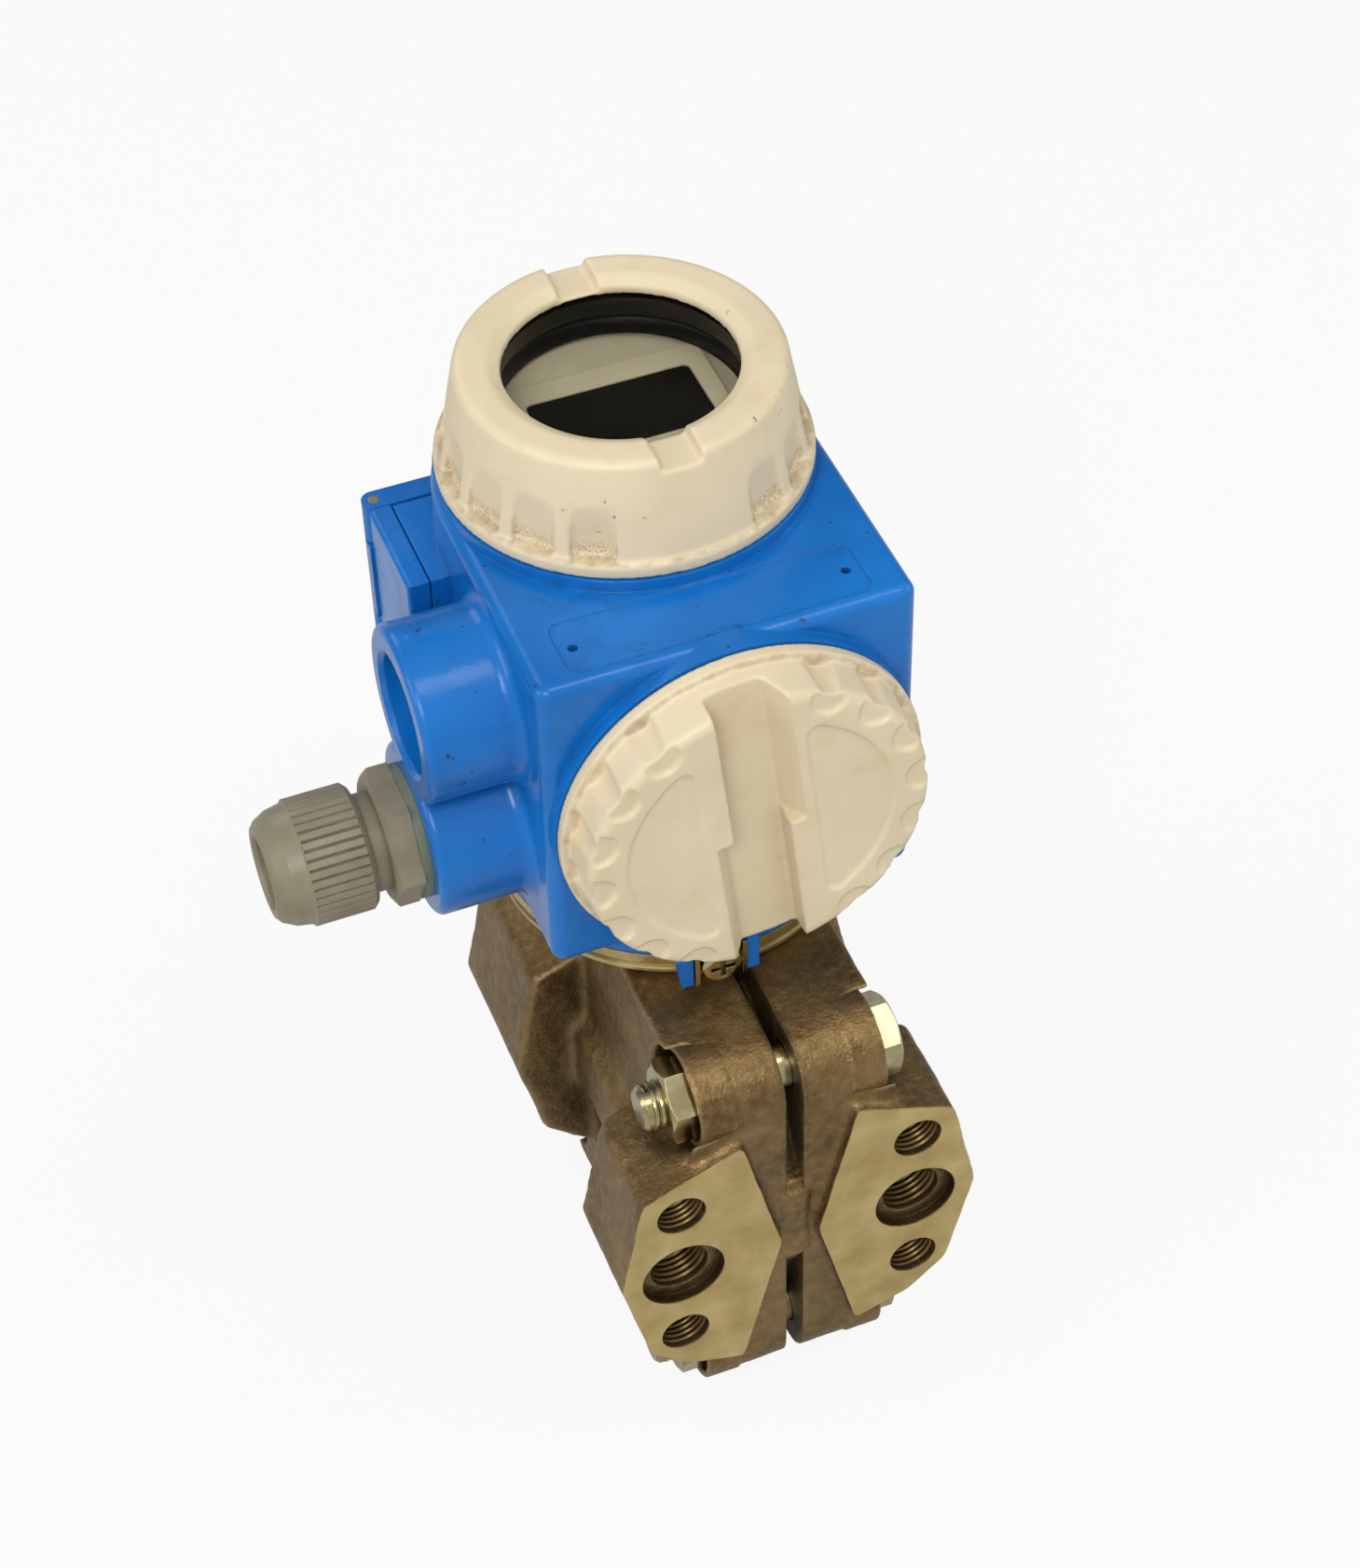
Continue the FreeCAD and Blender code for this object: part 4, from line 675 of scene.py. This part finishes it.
casting("flange_left", -1)
casting("flange_right", 1)
hex_nut("nut_upper_front", BOLT_BACKS[0], BOLT_RISES[0], 8)
hex_nut("nut_lower_front", BOLT_BACKS[0], BOLT_RISES[1], 23)
hex_nut("nut_upper_rear", BOLT_BACKS[1], BOLT_RISES[0], 41)
hex_nut("nut_lower_rear", BOLT_BACKS[1], BOLT_RISES[1], 52)
display_bezel()
pocket_lips(-1, "left")
pocket_lips(1, "right")
rim_between()
skin(frame["nodes"]["terminal_cover"], 0.45, 1)
skin(frame["nodes"]["display_cover"], 0.5, 3)
threads()


# ---------------------------------------------------------------- stage, light and camera

def stage():
    """A grey floor that the camera sees as nearly white, and that still takes a soft shadow."""
    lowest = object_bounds()[0].z
    bm = bmesh.new()
    bmesh.ops.create_grid(bm, x_segments=1, y_segments=1, size=12.0)
    floor = object_of("floor", bm)
    floor.location.z = lowest - 0.0002
    g = Graph("floor")
    shader = g.surface(Base_Color=(0.55, 0.55, 0.54, 1), Roughness=0.9)
    glow = g.add("Emission", Color=(1, 1, 1, 1), Strength=1.0)
    path = g.add("LightPath").outputs
    clear = g.times(g.math("MAXIMUM", path["Is Camera Ray"], path["Is Transmission Ray"]), 0.9)
    shiny = g.times(path["Is Glossy Ray"], 0.12)
    g.blend(g.math("MAXIMUM", clear, shiny), shader, glow)
    floor.data.materials.append(g.material)
    floor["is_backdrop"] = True


def lamp(name, place, target, size, power, colour=(1, 1, 1), shine=1.0):
    """A round area lamp; shine is its share in reflections."""
    light = bpy.data.lights.new(name, "AREA")
    light.shape = "DISK"
    light.size = size
    light.energy = power
    light.color = colour
    light.specular_factor = shine
    obj = bpy.data.objects.new(name, light)
    bpy.context.collection.objects.link(obj)
    obj.location = place
    obj.rotation_mode = "QUATERNION"
    obj.rotation_quaternion = (Vector(target) - Vector(place)).to_track_quat("-Z", "Y")


def world():
    """Soft light from the front and above that falls off behind, so that metal shows a dark side.
    The camera sees plain white."""
    sky = bpy.data.worlds.new("studio")
    bpy.context.scene.world = sky
    sky.use_nodes = True
    nodes, links = sky.node_tree.nodes, sky.node_tree.links
    back = nodes["Background"]
    back.inputs["Color"].default_value = (1.0, 0.985, 0.96, 1)
    towards_front = nodes.new("ShaderNodeVectorMath")
    towards_front.operation = "DOT_PRODUCT"
    towards_front.inputs[1].default_value = (-0.3, -0.62, 0.72)
    links.new(nodes.new("ShaderNodeTexCoord").outputs["Generated"], towards_front.inputs[0])
    fall = nodes.new("ShaderNodeMapRange")
    fall.interpolation_type = "SMOOTHSTEP"
    links.new(towards_front.outputs["Value"], fall.inputs["Value"])
    for key, value in (("From Min", -0.3), ("From Max", 0.95),
                       ("To Min", 0.16), ("To Max", 0.78)):
        fall.inputs[key].default_value = value
    seen = nodes.new("ShaderNodeMath")
    seen.operation = "MAXIMUM"
    links.new(fall.outputs["Result"], seen.inputs[0])
    links.new(nodes.new("ShaderNodeLightPath").outputs["Is Camera Ray"], seen.inputs[1])
    links.new(seen.outputs[0], back.inputs["Strength"])


def camera():
    """The photograph's viewpoint, from its fitted right, down and forward directions.  The
    photographed housing stands 2.4 degrees off its flanges, and the view splits that by a small
    turn about the neck."""
    turn_about_neck = 0.9    # degrees
    right = Vector((0.92464666, -0.38016086, -0.02250076))
    down = Vector((-0.28738073, -0.65777359, -0.69623719))
    ahead = Vector((0.24988172, 0.65023967, -0.71745906))
    data = bpy.data.cameras.new("camera")
    data.sensor_width = 36.0
    data.lens = 79.22
    data.clip_start = 0.01
    data.clip_end = 20.0
    obj = bpy.data.objects.new("camera", data)
    bpy.context.collection.objects.link(obj)
    axes = Matrix((right, -down, -ahead)).transposed()
    place = Matrix.Translation((-0.182671, -0.408860, 0.600797)) @ axes.to_4x4()
    neck = Matrix.Translation((0, 0.072, 0))
    turn = Matrix.Rotation(math.radians(turn_about_neck), 4, "Z")
    obj.matrix_world = neck @ turn @ neck.inverted() @ place
    bpy.context.scene.camera = obj


stage()
world()
lamp("key", (-0.5, -0.76, 1.05), (0, 0.05, 0.06), 0.5, 7.0, (1.0, 0.98, 0.95))
lamp("top", (0.26, -0.32, 1.22), (0, 0.02, 0.04), 0.42, 1.8, (1.0, 0.99, 0.97))
lamp("left", (-1.15, 0.1, 0.62), (0, 0.05, 0.1), 0.6, 3.2, shine=0.8)
lamp("right", (1.1, -0.15, 0.62), (0, 0.05, 0.06), 0.9, 3.2, shine=0.3)
lamp("back", (-0.2, 1.1, 0.8), (0, 0.05, 0.06), 0.7, 2.0, shine=0.3)
camera()
bpy.context.scene.view_settings.view_transform = "Standard"
